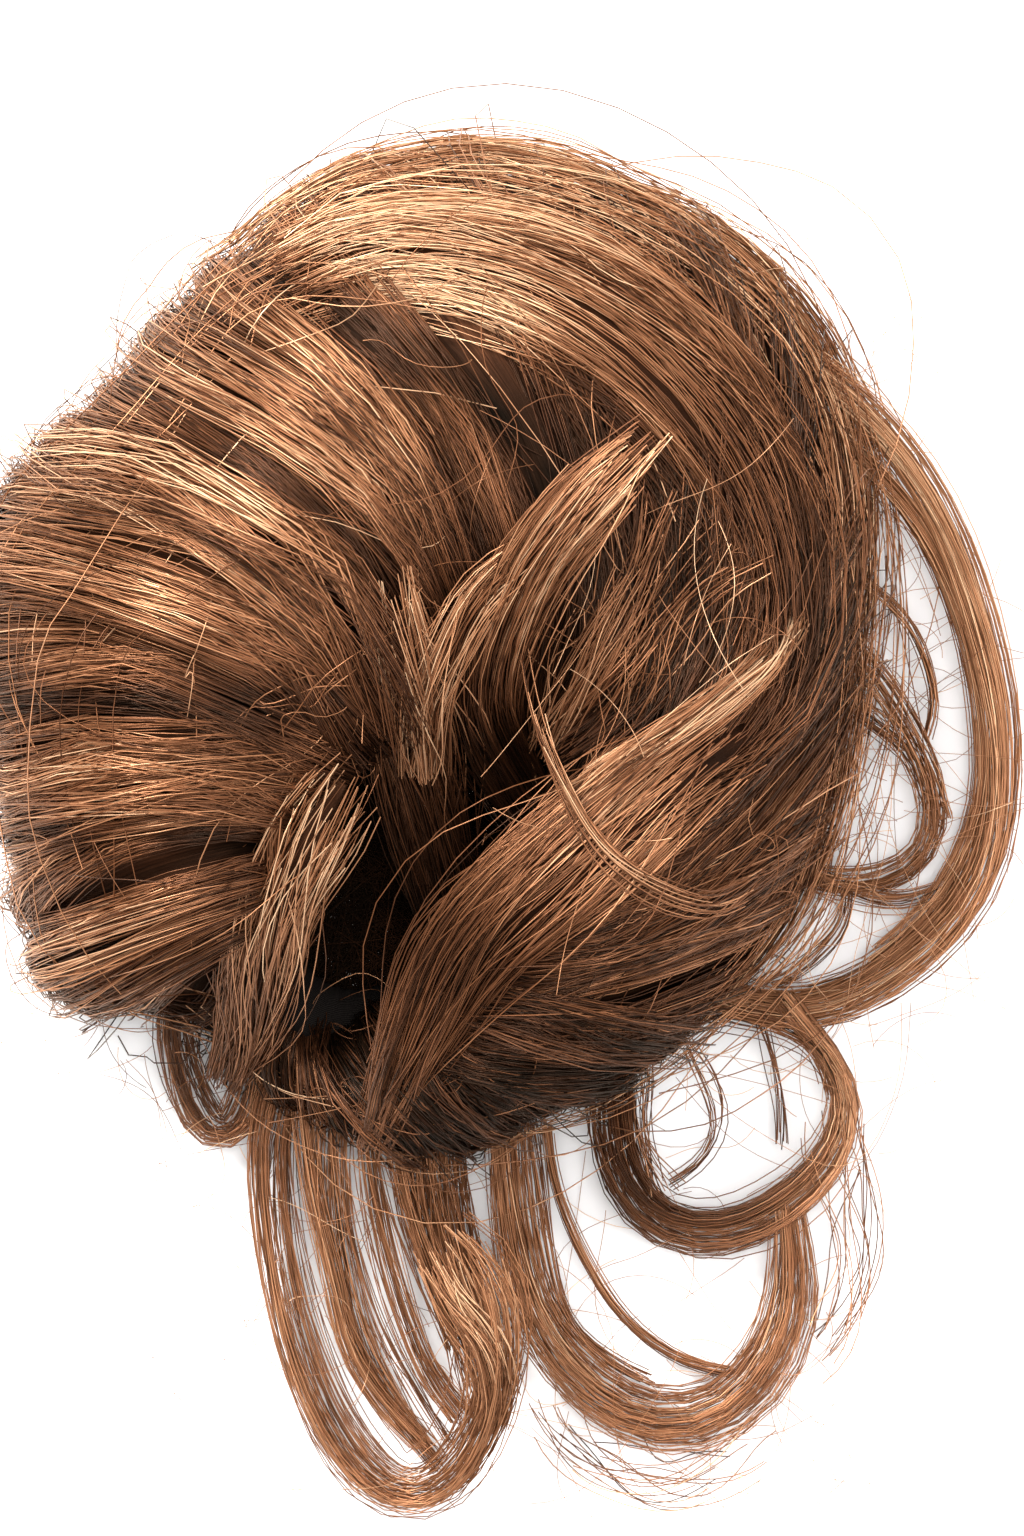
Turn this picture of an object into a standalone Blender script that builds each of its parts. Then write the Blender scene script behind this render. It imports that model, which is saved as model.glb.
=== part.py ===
# A messy-bun hairpiece: hair wound round an elastic band, with loose locks and open loops.
# Metres, +Z up. The piece lies on its back, as it is put down on a table.
import math

import bmesh
import bpy
from mathutils import Vector
from mathutils.bvhtree import BVHTree

# Driving dimensions
KNOT_REACH = 0.070        # unit for how far hair reaches sideways from the middle of the hollow
KNOT_HEIGHT = 0.056       # height of the wound ring at its highest lock
HOLLOW_LONG = 0.032       # half the length of the hollow
HOLLOW_SHORT = 0.022      # half its width
HOLLOW_TURN = 57.0        # degrees from +X to the long way of the hollow
BAND_THICKNESS = 0.009    # round section of the padded elastic
BAND_HEIGHT = 0.015       # middle of the elastic above the table
RIM_OVERHANG = 0.006      # how far the highest lock leans in over the elastic
GROOVE_DEPTH = 0.0032     # deepest valley between two locks
THIN_WALL = 0.004         # thinnest hair between the hollow and the outline
CLEARANCE = 0.0003        # gap between pieces that touch
SWIRL_BEND = 1.5          # how late a lock turns on its way in to the hollow
INNER_SWELL = 0.3         # how much of its swell a lock keeps on the hollow's wall
LOCK_ROUNDNESS = 0.7      # power that rounds a lock between its two valleys
FOOT_FADE = 0.5           # power that flattens a lock towards its feet

COLUMNS_PER_LOCK = 3
SECTION_STEPS = 18
BAND_STEPS = 12
LOCK_STEPS = 3
LOCK_SIDES = 8
WELD = 0.00001            # points closer than this are one point
CREASE_TURN = 50.0        # degrees between faces that show an edge

# The ring's section, from the hollow's foot over the crest to the outer foot.
# across: share of the way from the hollow to the outline. rise: share of the local height.
# lean: share of RIM_OVERHANG that the hair leans in over the elastic.
SECTION = (
    # across, rise, lean
    (0.00, 0.00, 0.0),    # inner foot
    (0.00, 0.34, 0.0),    # wall beside the elastic
    (0.00, 0.62, 0.7),    # throat
    (0.00, 0.86, 1.0),    # rim
    (0.18, 1.00, 0.6),    # crest
    (0.45, 0.98, 0.1),    # crown
    (0.72, 0.82, 0.0),    # shoulder
    (0.92, 0.54, 0.0),    # brow
    (1.00, 0.28, 0.0),    # edge
    (0.96, 0.09, 0.0),    # tuck
    (0.84, 0.00, 0.0),    # outer foot
)

# One row for each wound lock, anticlockwise from the bare stretch of elastic at the lower left.
# turn: degrees at the outline. swirl: degrees that the lock turns on its way in.
# reach and rise: shares of KNOT_REACH and KNOT_HEIGHT. groove: share of GROOVE_DEPTH.
LOCKS = (
    # turn, swirl, reach, rise, groove
    (-138, -4, 0.53, 0.18, 0.2),
    (-122, -6, 0.53, 0.18, 0.2),
    (-108, -10, 0.55, 0.30, 0.5),
    (-96, -14, 0.58, 0.52, 0.8),
    (-82, -22, 0.60, 0.62, 1.0),
    (-68, -30, 0.58, 0.66, 0.8),
    (-54, -38, 0.60, 0.68, 0.9),
    (-40, -46, 0.63, 0.70, 0.8),
    (-26, -54, 0.66, 0.70, 0.9),
    (-12, -60, 0.75, 0.70, 0.8),
    (2, -65, 0.80, 0.70, 0.9),
    (16, -69, 0.88, 0.72, 0.7),
    (29, -72, 1.00, 0.74, 0.9),
    (41, -74, 1.17, 0.76, 0.7),
    (52, -76, 1.31, 0.78, 0.9),
    (62, -76, 1.38, 0.80, 0.8),
    (72, -74, 1.40, 0.82, 0.9),
    (82, -70, 1.42, 0.86, 0.8),
    (91, -63, 1.39, 0.92, 1.0),
    (99, -55, 1.34, 0.97, 0.8),
    (106, -48, 1.27, 0.98, 1.3),
    (113, -42, 1.20, 1.00, 1.0),
    (120, -38, 1.14, 0.96, 0.9),
    (127, -35, 1.10, 0.98, 1.2),
    (134, -33, 1.09, 0.96, 0.9),
    (142, -32, 1.08, 0.92, 1.1),
    (150, -31, 1.02, 0.94, 0.8),
    (157, -31, 0.95, 0.90, 1.4),
    (164, -28, 0.88, 0.92, 0.9),
    (173, -25, 0.82, 0.90, 0.8),
    (183, -22, 0.80, 0.88, 1.0),
    (192, -15, 0.79, 0.80, 0.8),
    (201, -9, 0.78, 0.66, 0.9),
    (210, -5, 0.62, 0.34, 0.5),
)

# Loose locks. Each names its width and thickness in metres, its colour, and its path.
# A path row holds east, north, rise and girth. East and north are shares of KNOT_REACH from the
# middle of the hollow. Rise is a share of KNOT_HEIGHT above the table, or, on a lock that rides
# on the ring, a share of the lock's thickness above the ring's hair. Girth scales the section.
LOOSE = {
    "crown_sweep": dict(width=0.024, thickness=0.012, tone="mid", rides=True, path=(
        (-0.28, 1.10, 0.00, 0.35),
        (-0.04, 1.19, 0.02, 0.70),
        (0.24, 1.12, 0.05, 1.00),
        (0.48, 0.94, 0.05, 1.10),
        (0.64, 0.70, 0.05, 1.05),
        (0.69, 0.45, 0.10, 0.90),
        (0.60, 0.29, 0.15, 0.70),
        (0.44, 0.19, 0.20, 0.40),
    )),
    "crossing_lock": dict(width=0.0155, thickness=0.011, tone="gold", rides=False, path=(
        (0.72, 0.27, 0.76, 0.55),
        (0.58, 0.18, 0.84, 0.90),
        (0.42, 0.06, 0.88, 1.10),
        (0.28, -0.05, 0.88, 1.05),
        (0.14, -0.17, 0.84, 0.90),
        (0.05, -0.32, 0.76, 0.72),
        (-0.02, -0.46, 0.64, 0.58),
        (-0.07, -0.58, 0.48, 0.35),
    )),
    "left_tuft": dict(width=0.0115, thickness=0.007, tone="mid", rides=False, path=(
        (0.08, -0.12, 0.50, 0.70),
        (0.05, 0.02, 0.58, 0.90),
        (0.02, 0.18, 0.72, 1.00),
        (0.00, 0.34, 0.96, 1.00),
        (-0.02, 0.50, 1.04, 0.60),
    )),
    "right_tuft": dict(width=0.0100, thickness=0.007, tone="gold", rides=False, path=(
        (0.30, 0.02, 0.52, 0.70),
        (0.22, 0.13, 0.62, 0.90),
        (0.16, 0.28, 0.78, 1.00),
        (0.19, 0.43, 0.98, 1.00),
        (0.27, 0.58, 1.06, 1.05),
        (0.37, 0.69, 1.10, 0.90),
        (0.47, 0.79, 1.12, 0.45),
    )),
    "lower_tuft": dict(width=0.0105, thickness=0.0065, tone="mid", rides=False, path=(
        (-0.40, -0.50, 0.14, 0.40),
        (-0.33, -0.36, 0.36, 0.80),
        (-0.27, -0.15, 0.72, 1.00),
        (-0.19, 0.03, 0.92, 1.00),
        (-0.10, 0.17, 1.01, 0.55),
    )),
    "side_loop": dict(width=0.0085, thickness=0.0055, tone="light", rides=False, path=(
        (0.76, 1.04, 0.42, 0.90),
        (0.95, 0.91, 0.31, 1.00),
        (1.11, 0.70, 0.22, 1.00),
        (1.21, 0.42, 0.15, 1.00),
        (1.24, 0.18, 0.11, 1.00),
        (1.19, -0.07, 0.09, 1.05),
        (1.02, -0.25, 0.08, 1.10),
        (0.80, -0.34, 0.09, 0.95),
        (0.56, -0.27, 0.16, 0.70),
    )),
    "small_side_loop": dict(width=0.0040, thickness=0.0030, tone="light", rides=False, path=(
        (0.79, 0.54, 0.36, 0.90),
        (0.90, 0.42, 0.26, 1.00),
        (1.00, 0.30, 0.20, 1.00),
        (1.08, 0.14, 0.15, 1.00),
        (1.08, 0.01, 0.11, 1.00),
        (1.00, -0.06, 0.10, 1.00),
        (0.88, -0.07, 0.12, 0.90),
        (0.70, -0.03, 0.18, 0.80),
    )),
    "curl": dict(width=0.0070, thickness=0.0055, tone="dark", rides=False, path=(
        (0.42, -0.36, 0.28, 0.90),
        (0.41, -0.52, 0.22, 1.00),
        (0.43, -0.67, 0.16, 1.00),
        (0.51, -0.78, 0.12, 1.00),
        (0.65, -0.81, 0.10, 1.00),
        (0.80, -0.74, 0.10, 0.90),
        (0.90, -0.62, 0.11, 0.75),
        (0.91, -0.49, 0.12, 0.60),
        (0.84, -0.39, 0.13, 0.50),
    )),
    "low_loop": dict(width=0.0070, thickness=0.0050, tone="mid", rides=False, path=(
        (0.20, -0.48, 0.30, 0.80),
        (0.21, -0.73, 0.20, 0.80),
        (0.26, -0.98, 0.12, 0.90),
        (0.38, -1.14, 0.09, 1.00),
        (0.52, -1.21, 0.08, 1.05),
        (0.67, -1.17, 0.08, 1.00),
        (0.77, -1.04, 0.09, 0.95),
        (0.80, -0.92, 0.10, 0.85),
        (0.79, -0.78, 0.11, 0.60),
    )),
    "hanging_loop": dict(width=0.0060, thickness=0.0045, tone="mid", rides=False, path=(
        (-0.20, -0.38, 0.12, 0.80),
        (-0.28, -0.54, 0.11, 0.90),
        (-0.29, -0.73, 0.10, 1.00),
        (-0.25, -1.00, 0.08, 1.00),
        (-0.16, -1.23, 0.07, 1.00),
        (-0.04, -1.36, 0.07, 1.05),
        (0.07, -1.33, 0.12, 1.10),
        (0.15, -1.19, 0.20, 1.15),
        (0.18, -1.02, 0.28, 1.10),
        (0.15, -0.87, 0.33, 0.90),
        (0.06, -0.77, 0.34, 0.45),
    )),
    "inner_hanging_loop": dict(width=0.0050, thickness=0.0035, tone="mid", rides=False, path=(
        (-0.11, -0.40, 0.13, 0.90),
        (-0.155, -0.56, 0.11, 1.00),
        (-0.155, -0.77, 0.09, 1.00),
        (-0.10, -1.00, 0.07, 1.00),
        (-0.01, -1.17, 0.06, 0.90),
        (0.08, -1.30, 0.06, 0.70),
    )),
    "wide_hanging_lock": dict(width=0.0090, thickness=0.0040, tone="mid", rides=False, path=(
        (0.04, -0.42, 0.22, 1.00),
        (0.045, -0.67, 0.16, 1.00),
        (0.08, -0.86, 0.11, 0.90),
        (0.135, -1.04, 0.08, 0.75),
        (0.19, -1.18, 0.06, 0.50),
    )),
    "folded_loop": dict(width=0.0055, thickness=0.0040, tone="light", rides=False, path=(
        (-0.40, -0.22, 0.20, 0.80),
        (-0.49, -0.33, 0.13, 1.00),
        (-0.48, -0.47, 0.10, 1.00),
        (-0.435, -0.58, 0.08, 1.00),
        (-0.38, -0.60, 0.08, 1.00),
        (-0.345, -0.52, 0.09, 0.90),
        (-0.33, -0.42, 0.10, 0.70),
    )),
}

TONES = {
    # tone: colour, roughness
    "dark": ((0.085, 0.040, 0.022, 1.0), 0.50),
    "mid": ((0.165, 0.078, 0.038, 1.0), 0.45),
    "light": ((0.235, 0.120, 0.060, 1.0), 0.45),
    "gold": ((0.300, 0.160, 0.075, 1.0), 0.40),
    "elastic": ((0.012, 0.013, 0.012, 1.0), 0.80),
}


def clear_scene():
    for obj in list(bpy.data.objects):
        bpy.data.objects.remove(obj, do_unlink=True)


def new_collection(name):
    collection = bpy.data.collections.new(name)
    bpy.context.scene.collection.children.link(collection)
    return collection


def hair_material(name, tone):
    colour, roughness = TONES[tone]
    material = bpy.data.materials.new(name)
    material.use_nodes = True
    shader = material.node_tree.nodes["Principled BSDF"]
    shader.inputs["Base Color"].default_value = colour
    shader.inputs["Roughness"].default_value = roughness
    shader.inputs["Metallic"].default_value = 0.0
    return material


def smooth_between(before, start, end, after, share):
    # Catmull-Rom value between start and end
    square = share * share
    cube = square * share
    return 0.5 * (
        2.0 * start
        + (end - before) * share
        + (2.0 * before - 5.0 * start + 4.0 * end - after) * square
        + (3.0 * start - before - 3.0 * end + after) * cube
    )


def round_the_ring(turn, column):
    # smooth value of one column of LOCKS at any turn in degrees
    count = len(LOCKS)
    first = LOCKS[0][0]
    turn = first + (turn - first) % 360.0
    below = max(index for index in range(count) if LOCKS[index][0] <= turn)
    above = (below + 1) % count
    span = (LOCKS[above][0] - LOCKS[below][0]) % 360.0
    share = (turn - LOCKS[below][0]) / span
    return smooth_between(LOCKS[below - 1][column], LOCKS[below][column], LOCKS[above][column],
                          LOCKS[(above + 1) % count][column], share)


def hollow_radius(turn):
    # distance from the middle to the elliptical wall of the hollow
    angle = math.radians(turn - HOLLOW_TURN)
    along = math.cos(angle) / HOLLOW_LONG
    beside = math.sin(angle) / HOLLOW_SHORT
    return 1.0 / math.hypot(along, beside)


def section_point(share):
    # across, rise and lean at a share of the way along SECTION
    place = share * (len(SECTION) - 1)
    below = min(int(place), len(SECTION) - 2)
    rows = [SECTION[min(max(below + step, 0), len(SECTION) - 1)] for step in (-1, 0, 1, 2)]
    return tuple(smooth_between(*(row[column] for row in rows), place - below) for column in (0, 1, 2))


def ring_point(lock, part_way, share):
    # a point of the wound hair: part_way across one lock and a share of the way along the section
    row = LOCKS[lock]
    following = LOCKS[(lock + 1) % len(LOCKS)]
    outer_turn = row[0] + part_way * ((following[0] - row[0]) % 360.0)
    swirl = row[1] + part_way * (following[1] - row[1])
    across, rise, lean = section_point(share)
    inward = min(max(1.0 - across, 0.0), 1.0) ** SWIRL_BEND
    turn = outer_turn + swirl * inward

    inner = hollow_radius(turn)
    outer = max(round_the_ring(turn, 2) * KNOT_REACH, inner + THIN_WALL)
    tallness = round_the_ring(turn, 3)
    # a lock stands proud of the valleys on both sides, and flattens out at the feet
    between_valleys = math.sin(math.pi * part_way) ** LOCK_ROUNDNESS
    between_feet = math.sin(math.pi * min(max(share, 0.0), 1.0)) ** FOOT_FADE
    swell = between_valleys * between_feet * row[4] * GROOVE_DEPTH
    outward = -math.cos(math.pi * share)
    distance = inner + across * (outer - inner) - lean * tallness * RIM_OVERHANG
    distance += swell * (outward if outward > 0.0 else INNER_SWELL * outward)
    height = rise * tallness * KNOT_HEIGHT + swell * math.sin(math.pi * share)
    angle = math.radians(turn)
    return Vector((distance * math.cos(angle), distance * math.sin(angle), max(height, 0.0)))


def mesh_object(name, bm, collection, tone):
    # triangles, so that a bent quad is never split in two ways
    bmesh.ops.recalc_face_normals(bm, faces=bm.faces)
    bmesh.ops.triangulate(bm, faces=bm.faces)
    mesh = bpy.data.meshes.new(name)
    bm.to_mesh(mesh)
    bm.free()
    obj = bpy.data.objects.new(name, mesh)
    collection.objects.link(obj)
    finish_mesh(obj, tone)
    return obj


def finish_mesh(obj, tone):
    obj.data.materials.clear()
    obj.data.materials.append(hair_material(obj.name, tone))
    obj.data.shade_smooth()
    obj.data.set_sharp_from_angle(angle=math.radians(CREASE_TURN))


def make_hair_ring(collection):
    bm = bmesh.new()
    columns = []
    for lock in range(len(LOCKS)):
        for step in range(COLUMNS_PER_LOCK):
            points = []
            for index in range(SECTION_STEPS + 1):
                point = ring_point(lock, step / COLUMNS_PER_LOCK, index / SECTION_STEPS)
                if index in (0, SECTION_STEPS):
                    point.z = 0.0
                points.append(bm.verts.new(point))
            columns.append(points)
    for index, column in enumerate(columns):
        following = columns[(index + 1) % len(columns)]
        for low in range(SECTION_STEPS):
            bm.faces.new((column[low], column[low + 1], following[low + 1], following[low]))
        bm.faces.new((column[-1], column[0], following[0], following[-1]))
    return mesh_object("hair_ring", bm, collection, "mid")


def make_elastic_band(collection):
    radius = BAND_THICKNESS / 2
    inset = radius + CLEARANCE
    bpy.ops.curve.primitive_bezier_circle_add(radius=1.0)
    guide = bpy.context.object
    guide.data.resolution_u = BAND_STEPS
    guide.data.bevel_depth = radius
    guide.data.bevel_resolution = 2
    turn = math.radians(HOLLOW_TURN)
    for point in guide.data.splines[0].bezier_points:
        point.handle_left_type = "FREE"
        point.handle_right_type = "FREE"
        for corner in (point.co, point.handle_left, point.handle_right):
            along = corner.x * (HOLLOW_LONG - inset)
            beside = corner.y * (HOLLOW_SHORT - inset)
            corner.x = along * math.cos(turn) - beside * math.sin(turn)
            corner.y = along * math.sin(turn) + beside * math.cos(turn)
            corner.z = BAND_HEIGHT
    return curve_to_mesh(guide, "elastic_band", collection, "elastic")


def curve_to_mesh(guide, name, collection, tone):
    # the curve's own mesh with its caps welded on
    bpy.context.view_layer.update()
    mesh = bpy.data.meshes.new_from_object(guide.evaluated_get(bpy.context.evaluated_depsgraph_get()))
    bm = bmesh.new()
    bm.from_mesh(mesh)
    bmesh.ops.remove_doubles(bm, verts=bm.verts, dist=WELD)
    obj = mesh_object(name, bm, collection, tone)
    obj.matrix_world = guide.matrix_world
    bpy.data.objects.remove(guide, do_unlink=True)
    bpy.data.meshes.remove(mesh)
    return obj


def make_section_curve(width, thickness, cutters):
    # closed oval that a lock's path is bevelled with
    curve = bpy.data.curves.new("lock_section", "CURVE")
    curve.dimensions = "2D"
    spline = curve.splines.new("POLY")
    spline.points.add(LOCK_SIDES - 1)
    spline.use_cyclic_u = True
    for index, point in enumerate(spline.points):
        angle = 2 * math.pi * (index + 0.5) / LOCK_SIDES
        point.co = (width / 2 * math.cos(angle), thickness / 2 * math.sin(angle), 0.0, 1.0)
    section = bpy.data.objects.new("lock_section", curve)
    cutters.objects.link(section)
    section.hide_render = True
    section.display_type = "WIRE"
    return section


def lock_places(details, ring_tree):
    # path points in metres with their girth
    places = []
    for east, north, rise, girth in details["path"]:
        place = Vector((east * KNOT_REACH, north * KNOT_REACH, rise * KNOT_HEIGHT))
        if details["rides"]:
            above = Vector((place.x, place.y, 2 * KNOT_HEIGHT))
            hit = ring_tree.ray_cast(above, Vector((0, 0, -1)))[0]
            place.z = hit.z + rise * details["thickness"]
        places.append((place, girth))
    return places


def make_lock(name, details, ring_tree, collection, cutters):
    curve = bpy.data.curves.new(name, "CURVE")
    curve.dimensions = "3D"
    curve.twist_mode = "Z_UP"
    curve.resolution_u = LOCK_STEPS
    curve.bevel_mode = "OBJECT"
    curve.bevel_object = make_section_curve(details["width"], details["thickness"], cutters)
    curve.use_fill_caps = True
    places = lock_places(details, ring_tree)
    spline = curve.splines.new("BEZIER")
    spline.bezier_points.add(len(places) - 1)
    for point, (place, girth) in zip(spline.bezier_points, places):
        point.co = place
        point.radius = girth
        point.handle_left_type = "AUTO"
        point.handle_right_type = "AUTO"
    guide = bpy.data.objects.new(name + "_path", curve)
    collection.objects.link(guide)
    section = curve.bevel_object
    lock = curve_to_mesh(guide, name, collection, details["tone"])
    bpy.data.objects.remove(section, do_unlink=True)
    return lock


def tree_of(obj):
    bm = bmesh.new()
    bm.from_mesh(obj.data)
    bm.transform(obj.matrix_world)
    tree = BVHTree.FromBMesh(bm)
    bm.free()
    return tree


def grown_copy(obj, cutters):
    # the same shape, larger by the clearance all round
    copy = obj.copy()
    copy.data = obj.data.copy()
    copy.name = obj.name + "_cutter"
    cutters.objects.link(copy)
    copy.hide_render = True
    copy.display_type = "WIRE"
    bm = bmesh.new()
    bm.from_mesh(copy.data)
    bm.normal_update()
    moves = [vert.normal * CLEARANCE for vert in bm.verts]
    for vert, move in zip(bm.verts, moves):
        vert.co += move
    bm.to_mesh(copy.data)
    bm.free()
    return copy


def add_piece(piece, tone, pieces, grown, cutters):
    # cuts a piece back from each earlier one that it would touch. It is grown before it is cut,
    # so that later pieces are cut with a clean shape
    grown_piece = grown_copy(piece, cutters)
    bpy.context.view_layer.update()
    for cutter in grown:
        if tree_of(cutter).overlap(tree_of(piece)):
            cut_clear(piece, cutter, tone)
    pieces.append(piece)
    grown.append(grown_piece)


def cut_clear(piece, cutter, tone):
    # piece minus cutter, keeping the largest body that is left
    modifier = piece.modifiers.new("clear_" + cutter.name, "BOOLEAN")
    modifier.operation = "DIFFERENCE"
    modifier.solver = "EXACT"
    modifier.object = cutter
    bpy.context.view_layer.update()
    mesh = bpy.data.meshes.new_from_object(piece.evaluated_get(bpy.context.evaluated_depsgraph_get()))
    piece.modifiers.clear()
    bm = bmesh.new()
    bm.from_mesh(mesh)
    bodies = loose_bodies(bm)
    largest = max(bodies, key=lambda faces: sum(face.calc_area() for face in faces))
    crumbs = [face for faces in bodies if faces is not largest for face in faces]
    if crumbs:
        bmesh.ops.delete(bm, geom=crumbs, context="FACES")
    bmesh.ops.triangulate(bm, faces=bm.faces)
    bm.to_mesh(mesh)
    bm.free()
    old = piece.data
    piece.data = mesh
    bpy.data.meshes.remove(old)
    finish_mesh(piece, tone)


def loose_bodies(bm):
    left = set(bm.faces)
    bodies = []
    while left:
        start = left.pop()
        body = [start]
        front = [start]
        while front:
            face = front.pop()
            for edge in face.edges:
                for neighbour in edge.link_faces:
                    if neighbour in left:
                        left.remove(neighbour)
                        body.append(neighbour)
                        front.append(neighbour)
        bodies.append(body)
    return bodies


def stand_on_origin(pieces):
    # moves everything so that the table is z = 0 and the middle of the box is x = y = 0
    corners = [piece.matrix_world @ vert.co for piece in pieces for vert in piece.data.vertices]
    low = Vector([min(corner[axis] for corner in corners) for axis in range(3)])
    high = Vector([max(corner[axis] for corner in corners) for axis in range(3)])
    middle = (low + high) / 2
    move = Vector((-middle.x, -middle.y, -low.z))
    for piece in pieces:
        piece.location += move


def build():
    clear_scene()
    parts = new_collection("top_knot_hairpiece")
    cutters = new_collection("cutters")
    pieces = []
    grown = []
    add_piece(make_elastic_band(parts), "elastic", pieces, grown, cutters)
    ring = make_hair_ring(parts)
    add_piece(ring, "mid", pieces, grown, cutters)
    ring_tree = tree_of(ring)
    for name, details in LOOSE.items():
        lock = make_lock(name, details, ring_tree, parts, cutters)
        add_piece(lock, details["tone"], pieces, grown, cutters)
    stand_on_origin(pieces)


build()
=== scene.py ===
import bpy
import numpy as np
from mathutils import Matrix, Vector
from mathutils.bvhtree import BVHTree


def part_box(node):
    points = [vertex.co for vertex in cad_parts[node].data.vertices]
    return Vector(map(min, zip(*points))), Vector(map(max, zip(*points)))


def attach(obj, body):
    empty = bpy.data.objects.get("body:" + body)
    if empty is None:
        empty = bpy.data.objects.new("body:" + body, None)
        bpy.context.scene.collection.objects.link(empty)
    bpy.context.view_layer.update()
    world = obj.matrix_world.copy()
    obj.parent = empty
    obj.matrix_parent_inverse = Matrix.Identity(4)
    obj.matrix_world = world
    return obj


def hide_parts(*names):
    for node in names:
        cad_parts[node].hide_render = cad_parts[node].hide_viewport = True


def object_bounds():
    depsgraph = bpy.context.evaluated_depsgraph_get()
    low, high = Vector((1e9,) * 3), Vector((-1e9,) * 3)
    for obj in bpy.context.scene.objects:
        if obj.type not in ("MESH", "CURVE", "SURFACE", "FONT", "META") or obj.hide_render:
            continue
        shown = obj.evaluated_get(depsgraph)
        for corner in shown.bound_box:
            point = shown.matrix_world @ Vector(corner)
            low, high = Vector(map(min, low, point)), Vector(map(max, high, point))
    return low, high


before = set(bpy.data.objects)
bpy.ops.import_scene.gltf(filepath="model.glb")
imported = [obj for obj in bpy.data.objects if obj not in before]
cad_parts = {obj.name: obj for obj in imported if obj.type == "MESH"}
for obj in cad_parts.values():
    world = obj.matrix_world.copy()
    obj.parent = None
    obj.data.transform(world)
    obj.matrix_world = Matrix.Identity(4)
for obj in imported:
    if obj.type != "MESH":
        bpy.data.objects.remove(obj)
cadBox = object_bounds()

# The ring of wound hair, with the same driving sizes as the solids
ringForm = {
    "reach": 0.070,          # unit of sideways lengths
    "height": 0.056,         # highest wound lock
    "hollowLong": 0.032,     # half the hollow's length
    "hollowShort": 0.022,    # half its width
    "hollowTurn": 57.0,      # degrees from east to its long way
    "rimOverhang": 0.006,    # how far the hair leans in over the hollow
    "groove": 0.0032,        # depth of the valleys between locks
    "swirlBend": 1.5,        # above 1, a lock turns mostly near the hollow
    "innerSwell": 0.3,       # bulge of a lock inside the hollow, against 1 outside
    "roundAcross": 0.7,      # below 1, a lock is flatter than a half round across itself
    "roundAlong": 0.5,       # and along itself
}

# across, rise, lean: the section from the hollow's foot over the crest to the outer foot
ringSection = np.array((
    (0.00, 0.00, 0.0),
    (0.00, 0.34, 0.0),
    (0.00, 0.62, 0.7),
    (0.00, 0.86, 1.0),
    (0.18, 1.00, 0.6),
    (0.45, 0.98, 0.1),
    (0.72, 0.82, 0.0),
    (0.92, 0.54, 0.0),
    (1.00, 0.28, 0.0),
    (0.96, 0.09, 0.0),
    (0.84, 0.00, 0.0),
))

# turn, swirl, reach, rise, groove, tone: one row for each wound lock. Tone goes from dark 0 to gold 1; it
# holds both the hair's colour and painted shade, so locks that lie in shade, most of all on the south side,
# are darker.
ringLocks = np.array((
    (-138, -4, 0.53, 0.18, 0.2, 0.18),
    (-122, -6, 0.53, 0.18, 0.2, 0.16),
    (-108, -10, 0.55, 0.30, 0.5, 0.16),
    (-96, -14, 0.58, 0.52, 0.8, 0.06),
    (-82, -22, 0.60, 0.62, 1.0, 0.03),
    (-68, -30, 0.58, 0.66, 0.8, 0.02),
    (-54, -38, 0.60, 0.68, 0.9, 0.06),
    (-40, -46, 0.63, 0.70, 0.8, 0.12),
    (-26, -54, 0.66, 0.70, 0.9, 0.26),
    (-12, -60, 0.75, 0.70, 0.8, 0.38),
    (2, -65, 0.80, 0.70, 0.9, 0.38),
    (16, -69, 0.88, 0.72, 0.7, 0.34),
    (29, -72, 1.00, 0.74, 0.9, 0.30),
    (41, -74, 1.17, 0.76, 0.7, 0.28),
    (52, -76, 1.31, 0.78, 0.9, 0.26),
    (62, -76, 1.38, 0.80, 0.8, 0.26),
    (72, -74, 1.40, 0.82, 0.9, 0.30),
    (82, -70, 1.42, 0.86, 0.8, 0.44),
    (91, -63, 1.39, 0.92, 1.0, 0.58),
    (99, -55, 1.34, 0.97, 0.8, 0.68),
    (106, -48, 1.27, 0.98, 1.3, 0.78),
    (113, -42, 1.20, 1.00, 1.0, 0.72),
    (120, -38, 1.14, 0.96, 0.9, 0.58),
    (127, -35, 1.10, 0.98, 1.2, 0.56),
    (134, -33, 1.09, 0.96, 0.9, 0.70),
    (142, -32, 1.08, 0.92, 1.1, 0.74),
    (150, -31, 1.02, 0.94, 0.8, 0.62),
    (157, -31, 0.95, 0.90, 1.4, 0.73),
    (164, -28, 0.88, 0.92, 0.9, 0.68),
    (173, -25, 0.82, 0.90, 0.8, 0.66),
    (183, -22, 0.80, 0.88, 1.0, 0.64),
    (192, -15, 0.79, 0.80, 0.8, 0.60),
    (201, -9, 0.78, 0.66, 0.9, 0.56),
    (210, -5, 0.62, 0.34, 0.5, 0.34),
))
lockCount = len(ringLocks)

bandLow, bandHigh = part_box("elastic_band")
hub = np.array(((bandLow[0] + bandHigh[0]) / 2, (bandLow[1] + bandHigh[1]) / 2, 0.0))


def smoothBetween(before, start, end, after, share):
    # Catmull-Rom value between start and end
    square = share * share
    cube = square * share
    return 0.5 * (2 * start + (end - before) * share + (2 * before - 5 * start + 4 * end - after) * square
                  + (3 * start - before - 3 * end + after) * cube)


def roundTheRing(turn, column):
    first = ringLocks[0, 0]
    turn = first + np.mod(turn - first, 360.0)
    below = np.searchsorted(ringLocks[:, 0], turn, side="right") - 1
    above = (below + 1) % lockCount
    span = np.mod(ringLocks[above, 0] - ringLocks[below, 0], 360.0)
    share = (turn - ringLocks[below, 0]) / span
    values = ringLocks[:, column]
    after = values[(above + 1) % lockCount]
    return smoothBetween(values[below - 1], values[below], values[above], after, share)


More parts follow.
